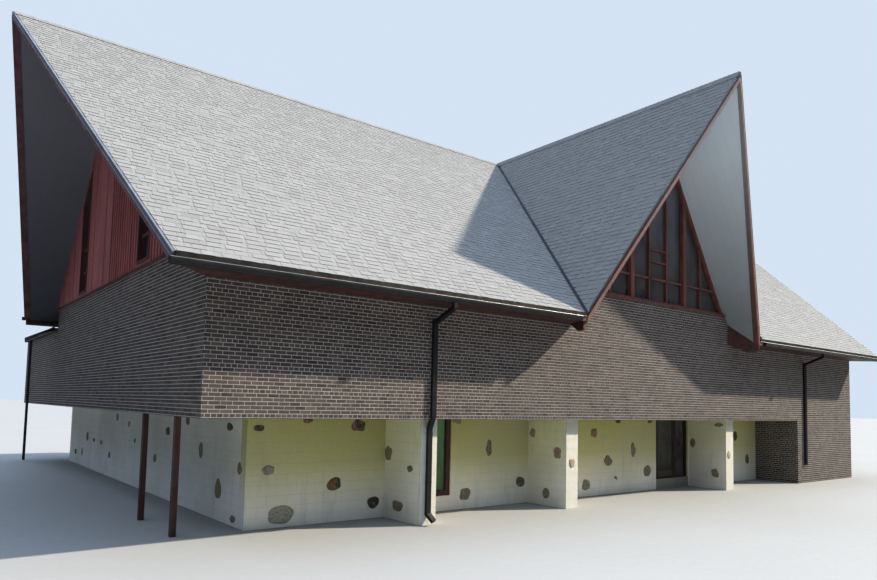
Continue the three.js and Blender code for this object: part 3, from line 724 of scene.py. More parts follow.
def cells(
    outline: Outline, rows: np.ndarray, pitch: float, gap: float, shift: np.ndarray,
    jitter: np.ndarray | None = None, least: float = 0.02, thinnest: float = 0.001,
) -> tuple[np.ndarray, np.ndarray]:
    """Rows of cells in an outline: cell k starts at k pitch + the row's shift, and the edges trim it.

    Args:
        outline: edges of the panel.
        rows: lower and upper v of each row.
        pitch: distance between cells.
        gap: open joint between neighbours.
        shift: start of each row.
        jitter: sideways moves of the joints, one for each row and joint.
        least: width below which a trimmed cell is left out.
        thinnest: width that the ends of a kept cell have at least.

    Returns:
        Corners as an (n, 4, 2) array, and the row of each cell.
    """
    low, high = min(outline.lefts) - 2 * pitch, max(outline.rights) + 2 * pitch
    joints = np.arange(math.floor(low / pitch), math.ceil(high / pitch) + 1) * pitch
    lines = joints[None] + shift[:, None]
    if jitter is not None:
        lines = lines + jitter[:, :len(joints)]
    left, right = lines[:, :-1] + gap / 2, lines[:, 1:] - gap / 2
    across = np.stack([left, right, right, left], axis=-1)
    up = np.broadcast_to(rows[:, None, [0, 0, 1, 1]], across.shape)
    corners = outline.held(np.stack([across, up], axis=-1))
    widths = corners[:, :, [1, 2], 0] - corners[:, :, [0, 3], 0]
    keep = widths.max(axis=-1) > least
    corners[:, :, [1, 2], 0] = np.maximum(corners[:, :, [1, 2], 0], corners[:, :, [0, 3], 0] + thinnest)
    row = np.broadcast_to(np.arange(len(rows))[:, None], keep.shape)
    return corners[keep], row[keep]


def tube(rings: np.ndarray, tone: float = MID_TONE) -> Shell:
    """Closed shell through rings of points, with a cap on the first and on the last, its faces turned out.

    Args:
        rings: rings as an (n, k, 3) array.
        tone: tone of the shell.

    Returns:
        The shell.
    """
    count, size = rings.shape[:2]
    ring = np.arange(size)
    here = size * np.arange(count - 1)[:, None] + ring
    beside = here - ring + (ring + 1) % size
    faces = np.stack([here, beside, beside + size, here + size], axis=-1).reshape(-1, 4)
    caps = [ring[::-1].copy(), ring + size * (count - 1)]
    points = rings.reshape(-1, 3)
    centred = points - points.mean(axis=0)
    corners = centred[faces]
    volume = sum(np.sum(corners[:, 0] * np.cross(corners[:, i], corners[:, i + 1])) for i in (1, 2))
    for cap in caps:
        fan = centred[cap]
        volume += np.sum(fan[0] * np.cross(fan[1:-1], fan[2:]))
    if volume < 0:
        faces = faces[:, ::-1]
        caps = [cap[::-1] for cap in caps]
    return Shell(points, faces, np.full(len(faces), tone), caps)


def carried(section: np.ndarray, path: Sequence, side: Vec) -> Shell:
    """A closed section carried along a path, cut at each bend in the plane between its two runs.

    Args:
        section: outline of the section as (sideways, upwards) pairs.
        path: points of the path.
        side: sideways direction of the section.

    Returns:
        The shell with a cap at each end.
    """
    path = np.array(path, float)
    runs = np.diff(path, axis=0)
    runs /= np.linalg.norm(runs, axis=1, keepdims=True)
    before = np.vstack([runs[:1], runs])
    cut = before + np.vstack([runs, runs[-1:]])
    cut /= np.linalg.norm(cut, axis=1, keepdims=True)
    sideways = np.array(side, float) - before * (before @ np.array(side, float))[:, None]
    sideways /= np.linalg.norm(sideways, axis=1, keepdims=True)
    upwards = np.cross(before, sideways)
    offset = section[None, :, :1] * sideways[:, None] + section[None, :, 1:] * upwards[:, None]
    slide = np.einsum("nkj,nj->nk", offset, cut) / np.einsum("nj,nj->n", before, cut)[:, None]
    return tube(path[:, None] + offset - slide[..., None] * before[:, None])


def lengths(first: np.ndarray, last: np.ndarray, length: float, gap: float = 0.003) -> list[Shell]:
    """A straight profile between two end rings, made in equal lengths with a fine gap between them.

    Args:
        first: ring at the start.
        last: ring at the end.
        length: about how long each length is.
        gap: width of the gaps.

    Returns:
        One shell for each length.
    """
    total = float(np.linalg.norm((last - first).mean(axis=0)))
    count = max(1, round(total / length))
    half = gap / (2 * total)
    spans = [(i / count + half, (i + 1) / count - half) for i in range(count)]
    return [tube(np.stack([first + (last - first) * share for share in span])) for span in spans]


def sheet(line: np.ndarray, thick: float) -> np.ndarray:
    """Closed section of a bent sheet: its line, then the line moved out by its thickness and run back."""
    runs = np.diff(line, axis=0)
    runs /= np.linalg.norm(runs, axis=1, keepdims=True)
    left = np.column_stack([-runs[:, 1], runs[:, 0]])
    before, after = np.vstack([left[:1], left]), np.vstack([left, left[-1:]])
    mitre = (before + after) / (1.0 + np.einsum("ij,ij->i", before, after))[:, None]
    return np.vstack([line, (line + thick * mitre)[::-1]])


def polygons(plane: Plane, corners: Sequence, low: float, high: float) -> Shell:
    """Four-cornered boards that stand on a plane from one height to another."""
    return raised(plane, np.array(corners, float), low, high)


def link(name: str, data: bpy.types.ID) -> bpy.types.Object:
    """Makes an object of some data and links it to the scene."""
    made = bpy.data.objects.new(name, data)
    bpy.context.scene.collection.objects.link(made)
    return made


def piece(
    name: str, shells: Sequence[Shell], finish: Finish, body: Body = Body.BUILDING,
    replaces: Sequence[str] = (), smooth: bool = False,
) -> None:
    """Makes one object of some shells and attaches it to its body.

    Args:
        name: name of the piece.
        shells: its closed surfaces.
        finish: its finish.
        body: the body that it rides on.
        replaces: nodes that it stands for.
        smooth: whether its faces are shaded smooth.
    """
    starts = np.cumsum([0] + [len(shell.points) for shell in shells[:-1]])
    points = np.concatenate([shell.points for shell in shells])
    quads = np.concatenate([shell.faces + start for shell, start in zip(shells, starts)])
    caps = [cap + start for shell, start in zip(shells, starts) for cap in shell.caps]
    ends = [np.full(len(shell.caps), shell.tone[0]) for shell in shells]
    tone = np.concatenate([*(shell.tone for shell in shells), *ends])
    sizes = np.concatenate([np.full(len(quads), 4), [len(cap) for cap in caps]]).astype(np.int32)
    loops = np.concatenate([quads.ravel(), *caps]).astype(np.int32)
    mesh = bpy.data.meshes.new(name)
    mesh.vertices.add(len(points))
    mesh.vertices.foreach_set("co", points.astype(np.float32).ravel())
    mesh.loops.add(len(loops))
    mesh.loops.foreach_set("vertex_index", loops)
    mesh.polygons.add(len(sizes))
    mesh.polygons.foreach_set("loop_start", np.concatenate([[0], np.cumsum(sizes)[:-1]]).astype(np.int32))
    mesh.update(calc_edges=True)
    mesh.attributes.new("tone", "FLOAT", "FACE").data.foreach_set("value", tone.astype(np.float32))
    mesh.polygons.foreach_set("use_smooth", np.full(len(sizes), smooth))
    mesh.materials.append(finish.material())
    made = link(name, mesh)
    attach(made, body.value)
    if replaces:
        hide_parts(*replaces)
    log.info("%s: %d faces", name, len(sizes))


# Sub-assemblies

@dataclass(frozen=True)
class Studio:
    """Camera, lights and floor around the building."""

    image: Pair = (877.0, 580.0)
    place: Vec = (-16.194, -17.401, 2.442)
    yaw: float = 0.662
    pitch: float = 0.0727
    roll: float = 0.0221
    focal: float = 684.32
    centre: Pair = (434.31, 353.43)
    sensor: float = 36.0
    sun: Vec = (0.752, -0.323, 0.575)
    sun_colour: Colour = (1.0, 0.9, 0.74)
    sun_strength: float = 7.4
    sun_angle: float = 1.5
    sky: Colour = (0.67, 0.81, 1.0)
    sky_low: float = 0.08
    sky_high: float = 4.0
    gamma: float = 0.8
    backdrop: Colour = (0.72, 0.81, 0.92)
    floor_reach: float = 300.0

    @staticmethod
    def _placed(axes: Sequence, place: Vec) -> Matrix:
        """Matrix of a place and of three axes, one to a column."""
        rows = np.stack(axes, axis=1).tolist()
        return Matrix([[*row, at] for row, at in zip(rows, place)] + [[0.0, 0.0, 0.0, 1.0]])

    def camera(self) -> None:
        """Sets the camera at the fitted place, turned by yaw, pitch and roll."""
        level = math.cos(self.pitch)
        forward = np.array([math.sin(self.yaw) * level, math.cos(self.yaw) * level, math.sin(self.pitch)])
        right = np.array([math.cos(self.yaw), -math.sin(self.yaw), 0.0])
        up = np.cross(right, forward)
        tilted = math.cos(self.roll) * right + math.sin(self.roll) * up
        upright = math.cos(self.roll) * up - math.sin(self.roll) * right
        data = bpy.data.cameras.new("camera")
        width, height = self.image
        data.sensor_width = self.sensor
        data.lens = self.focal / width * self.sensor
        data.shift_x = (width / 2 - self.centre[0]) / width
        data.shift_y = (self.centre[1] - height / 2) / width
        data.clip_end = 2.0 * self.floor_reach
        made = link("camera", data)
        made.matrix_world = self._placed((tilted, upright, -forward), self.place)
        bpy.context.scene.camera = made

    def light(self) -> None:
        """Sets a soft low sun from the right and an even pale sky."""
        data = bpy.data.lights.new("sun", "SUN")
        data.energy = self.sun_strength
        data.color = self.sun_colour
        data.angle = math.radians(self.sun_angle)
        away = np.array(self.sun) / np.linalg.norm(self.sun)
        side = np.cross(UP, away)
        side /= np.linalg.norm(side)
        link("sun", data).matrix_world = self._placed((side, np.cross(away, side), away), (0.0, 0.0, 0.0))
        scene = bpy.context.scene
        scene.world = self._sky()
        scene.view_settings.view_transform = "Standard"
        scene.view_settings.gamma = self.gamma

    def _sky(self) -> bpy.types.World:
        """Sky that is dim at the horizon and bright overhead, with an even pale backdrop for the camera."""
        world = bpy.data.worlds.new("sky")
        world.use_nodes = True
        shader = Shader(world.node_tree)
        rise = shader.axis(2, "Generated").clamped()
        strength = rise * rise * rise * (self.sky_high - self.sky_low) + self.sky_low
        sky = shader.value("ShaderNodeBackground", {"Color": (*self.sky, 1.0), "Strength": strength})
        plain = shader.value("ShaderNodeBackground", {"Color": (*self.backdrop, 1.0)})
        ray = shader.value("ShaderNodeLightPath", {}, "Is Camera Ray")
        mixed = shader.value("ShaderNodeMixShader", {0: ray, 1: sky, 2: plain})
        shader.node("ShaderNodeOutputWorld", {}, {"Surface": mixed})
        return world

    def floor(self) -> None:
        """Lays a plain pale floor at the lowest ground."""
        reach = self.floor_reach
        corners = [(*corner, 0.0) for corner in rect(-reach, -reach, reach, reach)]
        mesh = bpy.data.meshes.new("floor")
        mesh.from_pydata(corners, [], [(0, 1, 2, 3)])
        mesh.materials.append(FLOOR.material())
        made = link("floor", mesh)


@dataclass(frozen=True)
class Hall:
    """Main sizes of the frame."""

    half_x: float = 12.4
    half_y: float = 6.55
    skirt: float = 2.13
    wall_top: float = 5.047
    end_top: float = 5.07
    bend: float = 3.55
    sill_half: float = 3.374
    sill: float = 5.29
    return_x: float = 8.04
    low_y: float = 5.09
    low_left: float = -11.0
    low_right: float = -6.0
    low_back: float = 11.35
    fin_y: float = 6.35
    fin_lefts: Floats = (-7.88, -3.51, 3.76)
    fin_width: float = 0.42
    wing_right: float = -4.8
    wing_back: float = 12.81
    wing_top: float = 4.43
    wing_roof: float = 4.52
    ridge: float = 10.93
    eave_y: float = 7.3
    eave_z: float = 4.58
    back_eave: float = 6.9
    eave_x: float = 13.15
    prow: float = 14.68
    cross_x: float = 3.95
    cross_y: float = 8.87
    main_depth: float = 0.185
    cross_depth: float = 0.215
    end_out: float = 12.45
    strip: Pair = (2.45, 3.35)
    strip_low: float = 5.17
    strip_drop: float = 0.15

    def main_drop(self) -> float:
        """Fall of the main roof in each metre."""
        return (self.ridge - self.eave_z) / self.eave_y

    def cross_drop(self) -> float:
        """Fall of the cross roof in each metre."""
        return (self.ridge - self.eave_z) / self.cross_x

    def main_under(self, y: np.ndarray | float) -> np.ndarray | float:
        """Height of the main roof's underside at a distance from its ridge."""
        return self.ridge - self.main_depth - self.main_drop() * y

    def rake_x(self, eave: float) -> float:
        """Distance of the rake from the middle, where the eave is so far from the ridge."""
        return self.prow - (self.prow - self.eave_x) * eave / self.eave_y

    def valley_x(self, eave: float) -> float:
        """Distance of the valley from the middle, where the eave is so far from the ridge."""
        return self.cross_x * eave / self.eave_y


HALL = Hall()

# Front and back, each with its side and its eave, and the two ends
SIDES = (("front", -1, HALL.eave_y), ("back", 1, HALL.back_eave))
ENDS = (("left", -1), ("right", 1))


@dataclass(frozen=True)
class BrickPanel:
    """One flat panel of bricks: its plane, its outline, its foot, its head and 1 where odd rows lead."""

    plane: Plane
    outline: Outline
    low: float
    high: float
    odd: int = 0


@dataclass(frozen=True)
class BrickWork:
    """Common bond of standard bricks, a little proud of the mortar: every sixth course shows headers."""

    course: float = 0.0677
    pitch: float = 0.2032
    header_every: int = 6
    joint: float = 0.012
    proud: float = 0.0035
    sunk: float = 0.004
    arris: float = 0.0012
    least: float = 0.03
    tone_spread: float = 0.24
    uneven: float = 0.0008

    def panel(self, panel: BrickPanel, rng: np.random.Generator) -> Shell:
        """Bricks of one panel, in courses that line up at the skirt's edge."""
        first = math.floor((panel.low - HALL.skirt) / self.course)
        last = math.ceil((panel.high - HALL.skirt) / self.course)
        count = np.arange(first, last)
        base = HALL.skirt + count * self.course
        rows = np.stack([base + self.joint, base + self.course], axis=1)
        rows = np.clip(rows, panel.low, panel.high)
        fits = rows[:, 1] - rows[:, 0] > self.joint
        rows, count = rows[fits], count[fits]
        header = count % self.header_every == 0
        shift = np.where((count + panel.odd) % 2 == 0, 0.0, self.pitch / 2)
        laid = []
        quarter = self.pitch / 4
        for chosen, pitch, start in ((~header, self.pitch, shift), (header, 2 * quarter, shift + quarter)):
            if chosen.any():
                laid.append(cells(panel.outline, rows[chosen], pitch, self.joint, start[chosen],
                                  least=self.least)[0])
        corners = np.concatenate(laid)
        tone = np.clip(rng.normal(MID_TONE, self.tone_spread, len(corners)), 0.0, 1.0)
        high = self.proud + rng.uniform(-self.uneven, self.uneven, len(corners))[:, None]
        return raised(panel.plane, corners, -self.sunk, high, self.arris, tone)

    def build(self) -> None:
        """Lays the panels of each wall as one piece for each wall."""
        h, p = HALL, self.proud
        rng = np.random.default_rng(SEED)
        front, back = wall(Facing.FRONT, -h.half_y), wall(Facing.BACK, h.half_y)
        left, right = wall(Facing.LEFT, -h.half_x), wall(Facing.RIGHT, h.half_x)
        side = wall(Facing.LEFT, h.return_x)
        wing_back, wing_right = wall(Facing.BACK, h.wing_back), wall(Facing.RIGHT, h.wing_right)
        edge, inner = h.half_x + p, h.return_x - p
        upper, ends = band(-edge, edge), band(-h.half_y, h.half_y)
        rise = Outline((h.wall_top, h.sill), (-h.bend, -h.sill_half), (h.bend, h.sill_half))
        walls = {
            "front": [
                BrickPanel(front, upper, h.skirt, h.wall_top),
                BrickPanel(front, band(inner, edge), 0.0, h.skirt),
                BrickPanel(front, rise, h.wall_top, h.sill),
                BrickPanel(side, band(h.low_y, h.half_y), 0.0, h.skirt, 1),
            ],
            "back": [
                BrickPanel(back, band(-edge, -h.wing_right), h.skirt, h.wing_roof),
                BrickPanel(back, upper, h.wing_roof, h.wall_top),
                BrickPanel(back, band(-edge, -inner), 0.0, h.skirt),
                BrickPanel(back, rise, h.wall_top, h.sill),
                BrickPanel(side, band(-h.half_y, -h.low_y), 0.0, h.skirt, 1),
            ],
            "left": [BrickPanel(left, ends, h.skirt, h.end_top, 1)],
            "right": [BrickPanel(right, ends, 0.0, h.end_top, 1)],
            "wing": [
                BrickPanel(left, band(-h.wing_back, -h.half_y), h.skirt, h.wing_top, 1),
                BrickPanel(wing_back, band(-h.wing_right - p, edge), h.skirt, h.wing_top),
                BrickPanel(wing_right, band(h.half_y + p, h.wing_back), h.skirt, h.wing_top, 1),
            ],
        }
        for name, panels in walls.items():
            piece(f"bricks_{name}", [self.panel(one, rng) for one in panels], BRICK)


@dataclass(frozen=True)
class Slope:
    """One roof slope: the ridge's and the fall's directions, its foot, its valley and its prow."""

    name: str
    ridge: Vec
    fall: Vec
    drop: float
    foot: float
    valley: float
    tip: float
    back: float

    def angle(self) -> float:
        """Pitch of the slope."""
        return math.atan(self.drop)

    def length(self) -> float:
        """Distance from the foot to the ridge up the slope."""
        return self.foot / math.cos(self.angle())

    def sign(self) -> int:
        """1 where u runs out along the ridge, or -1 where it runs back, so that the plane faces out."""
        return 1 if np.cross(self.ridge, self.upwards())[2] > 0 else -1

    def upwards(self) -> np.ndarray:
        """Direction up the slope."""
        return np.array([0, 0, math.sin(self.angle())]) - math.cos(self.angle()) * np.array(self.fall)

    def plane(self) -> Plane:
        """Plane of the slope's top, from the foot under the crossing."""
        origin = np.array(self.fall) * self.foot + np.array([0, 0, HALL.ridge - self.drop * self.foot])
        return Plane(tuple(origin), tuple(self.sign() * np.array(self.ridge)), tuple(self.upwards()))

    def outline(self, inner: float, outer: float, wide: float | None = None) -> Outline:
        """Outline of the slope.

        Args:
            inner: distance from the valley line, square to it.
            outer: distance from the prow's edge along the ridge.
            wide: width from the inner edge, square to the valley, for a strip along it.

        Returns:
            The outline in the slope's own u and v.
        """
        lean = self.valley * math.cos(self.angle())
        square = math.hypot(1.0, lean)
        near = [self.valley * self.foot + inner * square, inner * square]
        far = [self.tip - self.back * self.foot - outer, self.tip - outer]
        if wide is not None:
            far = [value + wide * square for value in near]
        if self.sign() < 0:
            near, far = [-value for value in far], [-value for value in near]
        return Outline((0.0, self.length()), tuple(near), tuple(far))


def slopes() -> list[Slope]:
    """The four main slopes and the four slopes of the cross gables."""
    h = HALL
    made = []
    bend = h.cross_x / h.eave_y
    back = (h.prow - h.eave_x) / h.eave_y
    cross_back = (h.cross_y - h.eave_y) / h.cross_x
    for place, side, foot in SIDES:
        tip = h.cross_y - (h.eave_y - foot)
        for hand, end in ENDS:
            name, main, cross = f"{place}_{hand}", (end, 0, 0), (0, side, 0)
            made.append(Slope(name, main, cross, h.main_drop(), foot, bend, h.prow, back))
            made.append(Slope(f"cross_{name}", cross, main, h.cross_drop(), foot * bend, 1.0 / bend, tip,
                              cross_back))
    return made


@dataclass(frozen=True)
class Shingles:
    """Laminated shingles in courses: thick teeth between thin tabs, each course over the one below."""

    exposure: float = 0.142
    lap: float = 0.012
    pitch: float = 0.165
    slot: float = 0.0035
    least: float = 0.01
    thick: float = 0.0095
    thin: float = 0.0042
    widen: float = 0.036
    uneven: float = 0.15
    swapped: float = 0.14
    spare: int = 12
    tone_spread: float = 0.2
    tooth_tone: float = 0.15
    head: float = 0.0015
    sunk: float = 0.003
    valley_cut: float = 0.05
    cap_edges: Pair = (0.01, -0.03)
    cap_reach: float = 0.17
    cap_pitch: float = 0.13
    cap_least: float = 0.05
    cap_lap: float = 0.02
    cap_high: float = 0.019
    cap_low: float = 0.012
    cap_base: float = 0.002
    cap_tones: Pair = (0.1, 0.9)
    metal_wide: float = 0.1
    metal_parts: int = 4
    metal_heights: Pair = (-0.001, 0.002)
    metal_gap: float = 0.002

    def courses(self, slope: Slope, rng: np.random.Generator) -> Shell:
        """Shingle tabs of one slope; the butt of a tab is thick and its head lies under the next course."""
        base = np.arange(0.0, slope.length() - self.exposure / 2, self.exposure)
        rows = np.stack([base, np.minimum(base + self.exposure + self.lap, slope.length())], axis=1)
        outline = slope.outline(self.valley_cut, 0.0)
        columns = int((max(outline.rights) - min(outline.lefts)) / self.pitch) + self.spare
        jitter = rng.uniform(-self.uneven, self.uneven, (len(rows), columns)) * self.pitch
        jitter += self.widen * np.where(np.arange(columns) % 2 == 0, -1.0, 1.0)
        shift = rng.uniform(0.0, 2.0 * self.pitch, len(rows))
        corners, row = cells(outline, rows, self.pitch, self.slot, shift, jitter, self.least)
        tooth = rng.uniform(0.0, 1.0, len(corners))
        first = math.floor((min(outline.lefts) - 2 * self.pitch) / self.pitch)
        index = np.floor((corners[:, :2, 0].mean(axis=1) - shift[row]) / self.pitch).astype(int) - first
        butt = np.where((index % 2 == 0) ^ (tooth < self.swapped), self.thick, self.thin)
        head = np.full_like(butt, self.head)
        tone = rng.normal(MID_TONE, self.tone_spread, len(tooth)) + self.tooth_tone * (tooth - 0.5)
        high = np.stack([butt, butt, head, head], axis=1)
        return raised(slope.plane(), corners, -self.sunk, high, 0.0, np.clip(tone, 0.0, 1.0))

    def caps(self, slope: Slope, rng: np.random.Generator) -> Shell:
        """Bent shingles on one side of a ridge; their tops meet the other side's over the ridge."""
        top, lean = slope.length(), math.tan(slope.angle())
        rows = np.array([[top - self.cap_reach, top]])
        outline = slope.outline(*self.cap_edges)
        lower, _ = cells(outline, rows, self.cap_pitch, -self.cap_lap, np.zeros(1), least=self.cap_least)
        lead = [1, 0, 0, 1] if slope.sign() > 0 else [0, 1, 1, 0]
        step = self.cap_high - self.cap_low
        high = self.cap_low + step * np.tile(np.array(lead, float), (len(lower), 1))
        upper = lower.copy()
        upper[:, 2:, 1] = top + high[:, 2:] * lean
        lower[:, 2:, 1] = top + self.cap_base * lean
        plane = slope.plane()
        tone = rng.uniform(*self.cap_tones, len(lower))
        return blocks(plane.place(lower, self.cap_base), plane.place(upper, high), tone)

    def valley(self, slope: Slope) -> Shell:
        """Metal strip along one slope's valley, in equal parts."""
        outline = slope.outline(0.0, 0.0, self.metal_wide)
        base = np.linspace(0.0, slope.length(), self.metal_parts + 1)
        rows = np.stack([base[:-1], base[1:] - self.metal_gap], axis=1)
        whole = 2.0 * HALL.prow
        corners, _ = cells(outline, rows, whole, 0.0, np.full(len(rows), whole / 2), least=self.least)
        return raised(slope.plane(), corners, *self.metal_heights)

    def build(self) -> None:
        """Lays the slopes, the ridge caps and the valley metal."""
        rng = np.random.default_rng(SEED + 1)
        made = slopes()
        for slope in made:
            piece(f"shingles_{slope.name}", [self.courses(slope, rng)], SHINGLE)
        piece("ridge_shingles", [self.caps(slope, rng) for slope in made], SHINGLE,
              replaces=("ridge_cap",))
        piece("valley_metal", [self.valley(slope) for slope in made], FLASHING)


@dataclass(frozen=True)
class Edge:
    """One sloping roof edge in plan, from its foot at the eave to its tip at the ridge."""

    foot: Pair
    tip: Pair
    drop: float
    across: int

    def ring(self, section: np.ndarray, at_tip: bool) -> np.ndarray:
        """Points of a section at one end; at the tip they run on along the edge into the mitre plane.

        Args:
            section: (outward, rise) pairs, with the rise over the roof's surface there.
            at_tip: whether the ring is at the tip.

        Returns:
            The points as a (k, 3) array.
        """
        foot, tip = np.array(self.foot), np.array(self.tip)
        run = (tip - foot) / np.linalg.norm(tip - foot)
        outward = np.array([run[1], -run[0]])
        outward *= math.copysign(1.0, float(outward @ tip))
        flat = (tip if at_tip else foot) + section[:, :1] * outward
        if at_tip:
            flat = flat - flat[:, [self.across]] / run[self.across] * run
        height = HALL.ridge - self.drop * np.abs(flat[:, self.across]) + section[:, 1]
        return np.column_stack([flat, height])


def roof_edges() -> dict[str, list[Edge]]:
    """Edges of the two prows of the main roof and of the two cross gables, two to each."""
    h = HALL
    made: dict[str, list[Edge]] = {"left": [], "right": [], "front": [], "back": []}
    for place, side, eave in SIDES:
        foot, half, y = h.rake_x(eave), h.valley_x(eave), side * eave
        reach = h.cross_y - (h.eave_y - eave)
        for hand, end in ENDS:
            made[hand].append(Edge((end * foot, y), (end * h.prow, 0.0), h.main_drop(), 1))
            made[place].append(Edge((end * half, y), (0.0, side * reach), h.cross_drop(), 0))
    return made


@dataclass(frozen=True)
class RakeTrim:
    """Metal over the upper part of the rake boards, and border boards under the roof's edges."""

    face: float = 0.0415
    metal: float = 0.005
    flange: float = 0.004
    under: float = 0.0145
    inside: float = 0.001
    nose: Pair = (0.003, 0.012)
    cover_main: float = 0.1
    cover_cross: float = 0.08
    hem: Pair = (0.008, 0.012)
    border_thick: float = 0.014
    border_main: Pair = (0.12, 0.1)
    border_cross: Pair = (0.14, 0.06)
    metal_length: float = 3.05
    board_length: float = 4.9

    def cover(self, reach: float) -> np.ndarray:
        """Section of the metal: a flange over the board, a face down it and a hem turned out at its edge."""
        out = self.face + self.metal
        return np.array([
            (self.inside, -self.under), (self.inside, -self.flange), (out, -self.flange),
            (out + self.nose[0], -self.nose[1]), (out, -reach + self.hem[1]), (out + self.hem[0], -reach),
            (self.face, -reach), (self.face, -self.under),
        ])

    def border(self, wide: float, depth: float) -> np.ndarray:
        """Section of a border board on the soffit, as wide as given."""
        low = -depth - self.border_thick
        return np.array([(0.0, -depth), (-wide, -depth), (-wide, low), (0.0, low)])

    def _dress(self, place: str, edges: list[Edge], main: bool) -> None:
        """Metal and border boards of one end or of one cross gable."""
        section = self.cover(self.cover_main if main else self.cover_cross)
        widths = self.border_main if main else self.border_cross
        depth = HALL.main_depth if main else HALL.cross_depth
        low, high = (self.border(wide, depth) for wide in widths)
        metal, boards = [], []
        for edge in edges:
            metal += lengths(edge.ring(section, False), edge.ring(section, True), self.metal_length)
            boards += lengths(edge.ring(low, False), edge.ring(high, True), self.board_length)
        piece(f"rake_metal_{place}", metal, EDGE_METAL if main else CROSS_METAL)
        piece(f"soffit_border_{place}", boards, RAKE_BOARD if main else CROSS_BORDER)

    def build(self) -> None:
        """Dresses the edges of each end and of each cross gable."""
        for place, edges in roof_edges().items():
            self._dress(place, edges, place in ("left", "right"))


@dataclass(frozen=True)
class Gutters:
    """Ogee gutters with beads in a paler metal that paints a highlight, end plates and hangers, and the drip
    metal over the fascias.
    """

    thick: float = 0.0025
    ogee: tuple[Pair, ...] = (
        (0.0, 0.1), (0.0, 0.0), (0.06, 0.0), (0.07, 0.01), (0.073, 0.027), (0.081, 0.042), (0.093, 0.055),
        (0.0995, 0.072), (0.0995, 0.097),
    )
    bead: float = 0.0065
    bead_at: Pair = (0.0965, 0.099)
    bead_sides: int = 8
    hanger_pitch: float = 0.61
    hanger_margin: float = 0.15
    hanger: Pair = (0.025, 0.003)
    hanger_span: Pair = (0.002, 0.096)
    plate: float = 0.003
    length: float = 3.05
    sheet_gap: float = 0.001
    valley_gap: float = 0.045
    drip: tuple[Pair, ...] = (
        (0.0008, 0.002), (0.047, -0.007), (0.049, -0.082), (0.056, -0.092), (0.043, -0.092), (0.043, -0.039),
        (0.0008, -0.039),
    )

    def build(self) -> None:
        """Makes the four gutters in place of their plain solids, and the drip metal along the four eaves."""
        for place, side, eave in SIDES:
            for hand, _ in ENDS:
                self._gutter(f"{place}_{hand}", side)
            self._drip(place, side, eave)

    def _gutter(self, name: str, side: int) -> None:
        """One gutter, fitted to its node's box."""
        (left, first, foot), (right, last, _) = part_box(f"gutter_{name}")
        back = first if side > 0 else last

        def rings(section: np.ndarray, near: float, far: float) -> list[np.ndarray]:
            """The section at two ends."""
            return [self._ring(section, x, back, side, foot) for x in (near, far)]

        line = np.array(self.ogee)
        shells = lengths(*rings(sheet(line, self.thick), left, right), self.length, self.sheet_gap)
        shells += [tube(np.stack(rings(line, x, x + self.plate))) for x in (left, right - self.plate)]
        margin = self.hanger_margin
        at = np.linspace(left + margin, right - margin, int((right - left) / self.hanger_pitch))
        wide, thin = self.hanger
        near, far = sorted(back + side * out for out in self.hanger_span)
        top = foot + self.hanger_span[1]
        starts, ends = ([(x, y, top) for x in at] for y in (near, far))
        shells.append(beams(starts, ends, (wide / 2, 0, 0), (0, 0, thin / 2)))
        piece(f"ogee_gutter_{name}", shells, GUTTER, replaces=(f"gutter_{name}",))
        # The bead takes the paler metal, a painted highlight along the gutter's edge
        bead = np.array(self.bead_at) + self.bead * circle(self.bead_sides)
        piece(f"gutter_bead_highlight_{name}", lengths(*rings(bead, left, right), self.length), BEAD_HIGHLIGHT_METAL)

    @staticmethod
    def _ring(section: np.ndarray, x: float, y: float, side: int, z: float) -> np.ndarray:
        """Section of (out, up) points at one x: out from y to one side, and up from z."""
        return np.column_stack([np.full(len(section), x), y + side * section[:, 0], z + section[:, 1]])

    def _drip(self, place: str, side: int, eave: float) -> None:
        """Drip metal from the roof's edge down over the fascia, between the valley and the rake."""
        edge = HALL.ridge - HALL.main_drop() * eave
        near, far = HALL.valley_x(eave) + self.valley_gap, HALL.rake_x(eave)
        shells = []
        for end in (-1, 1):
            rings = [self._ring(np.array(self.drip), end * x, side * eave, side, edge) for x in (near, far)]
            shells += lengths(*rings, self.length)
        piece(f"drip_metal_{place}", shells, GUTTER)


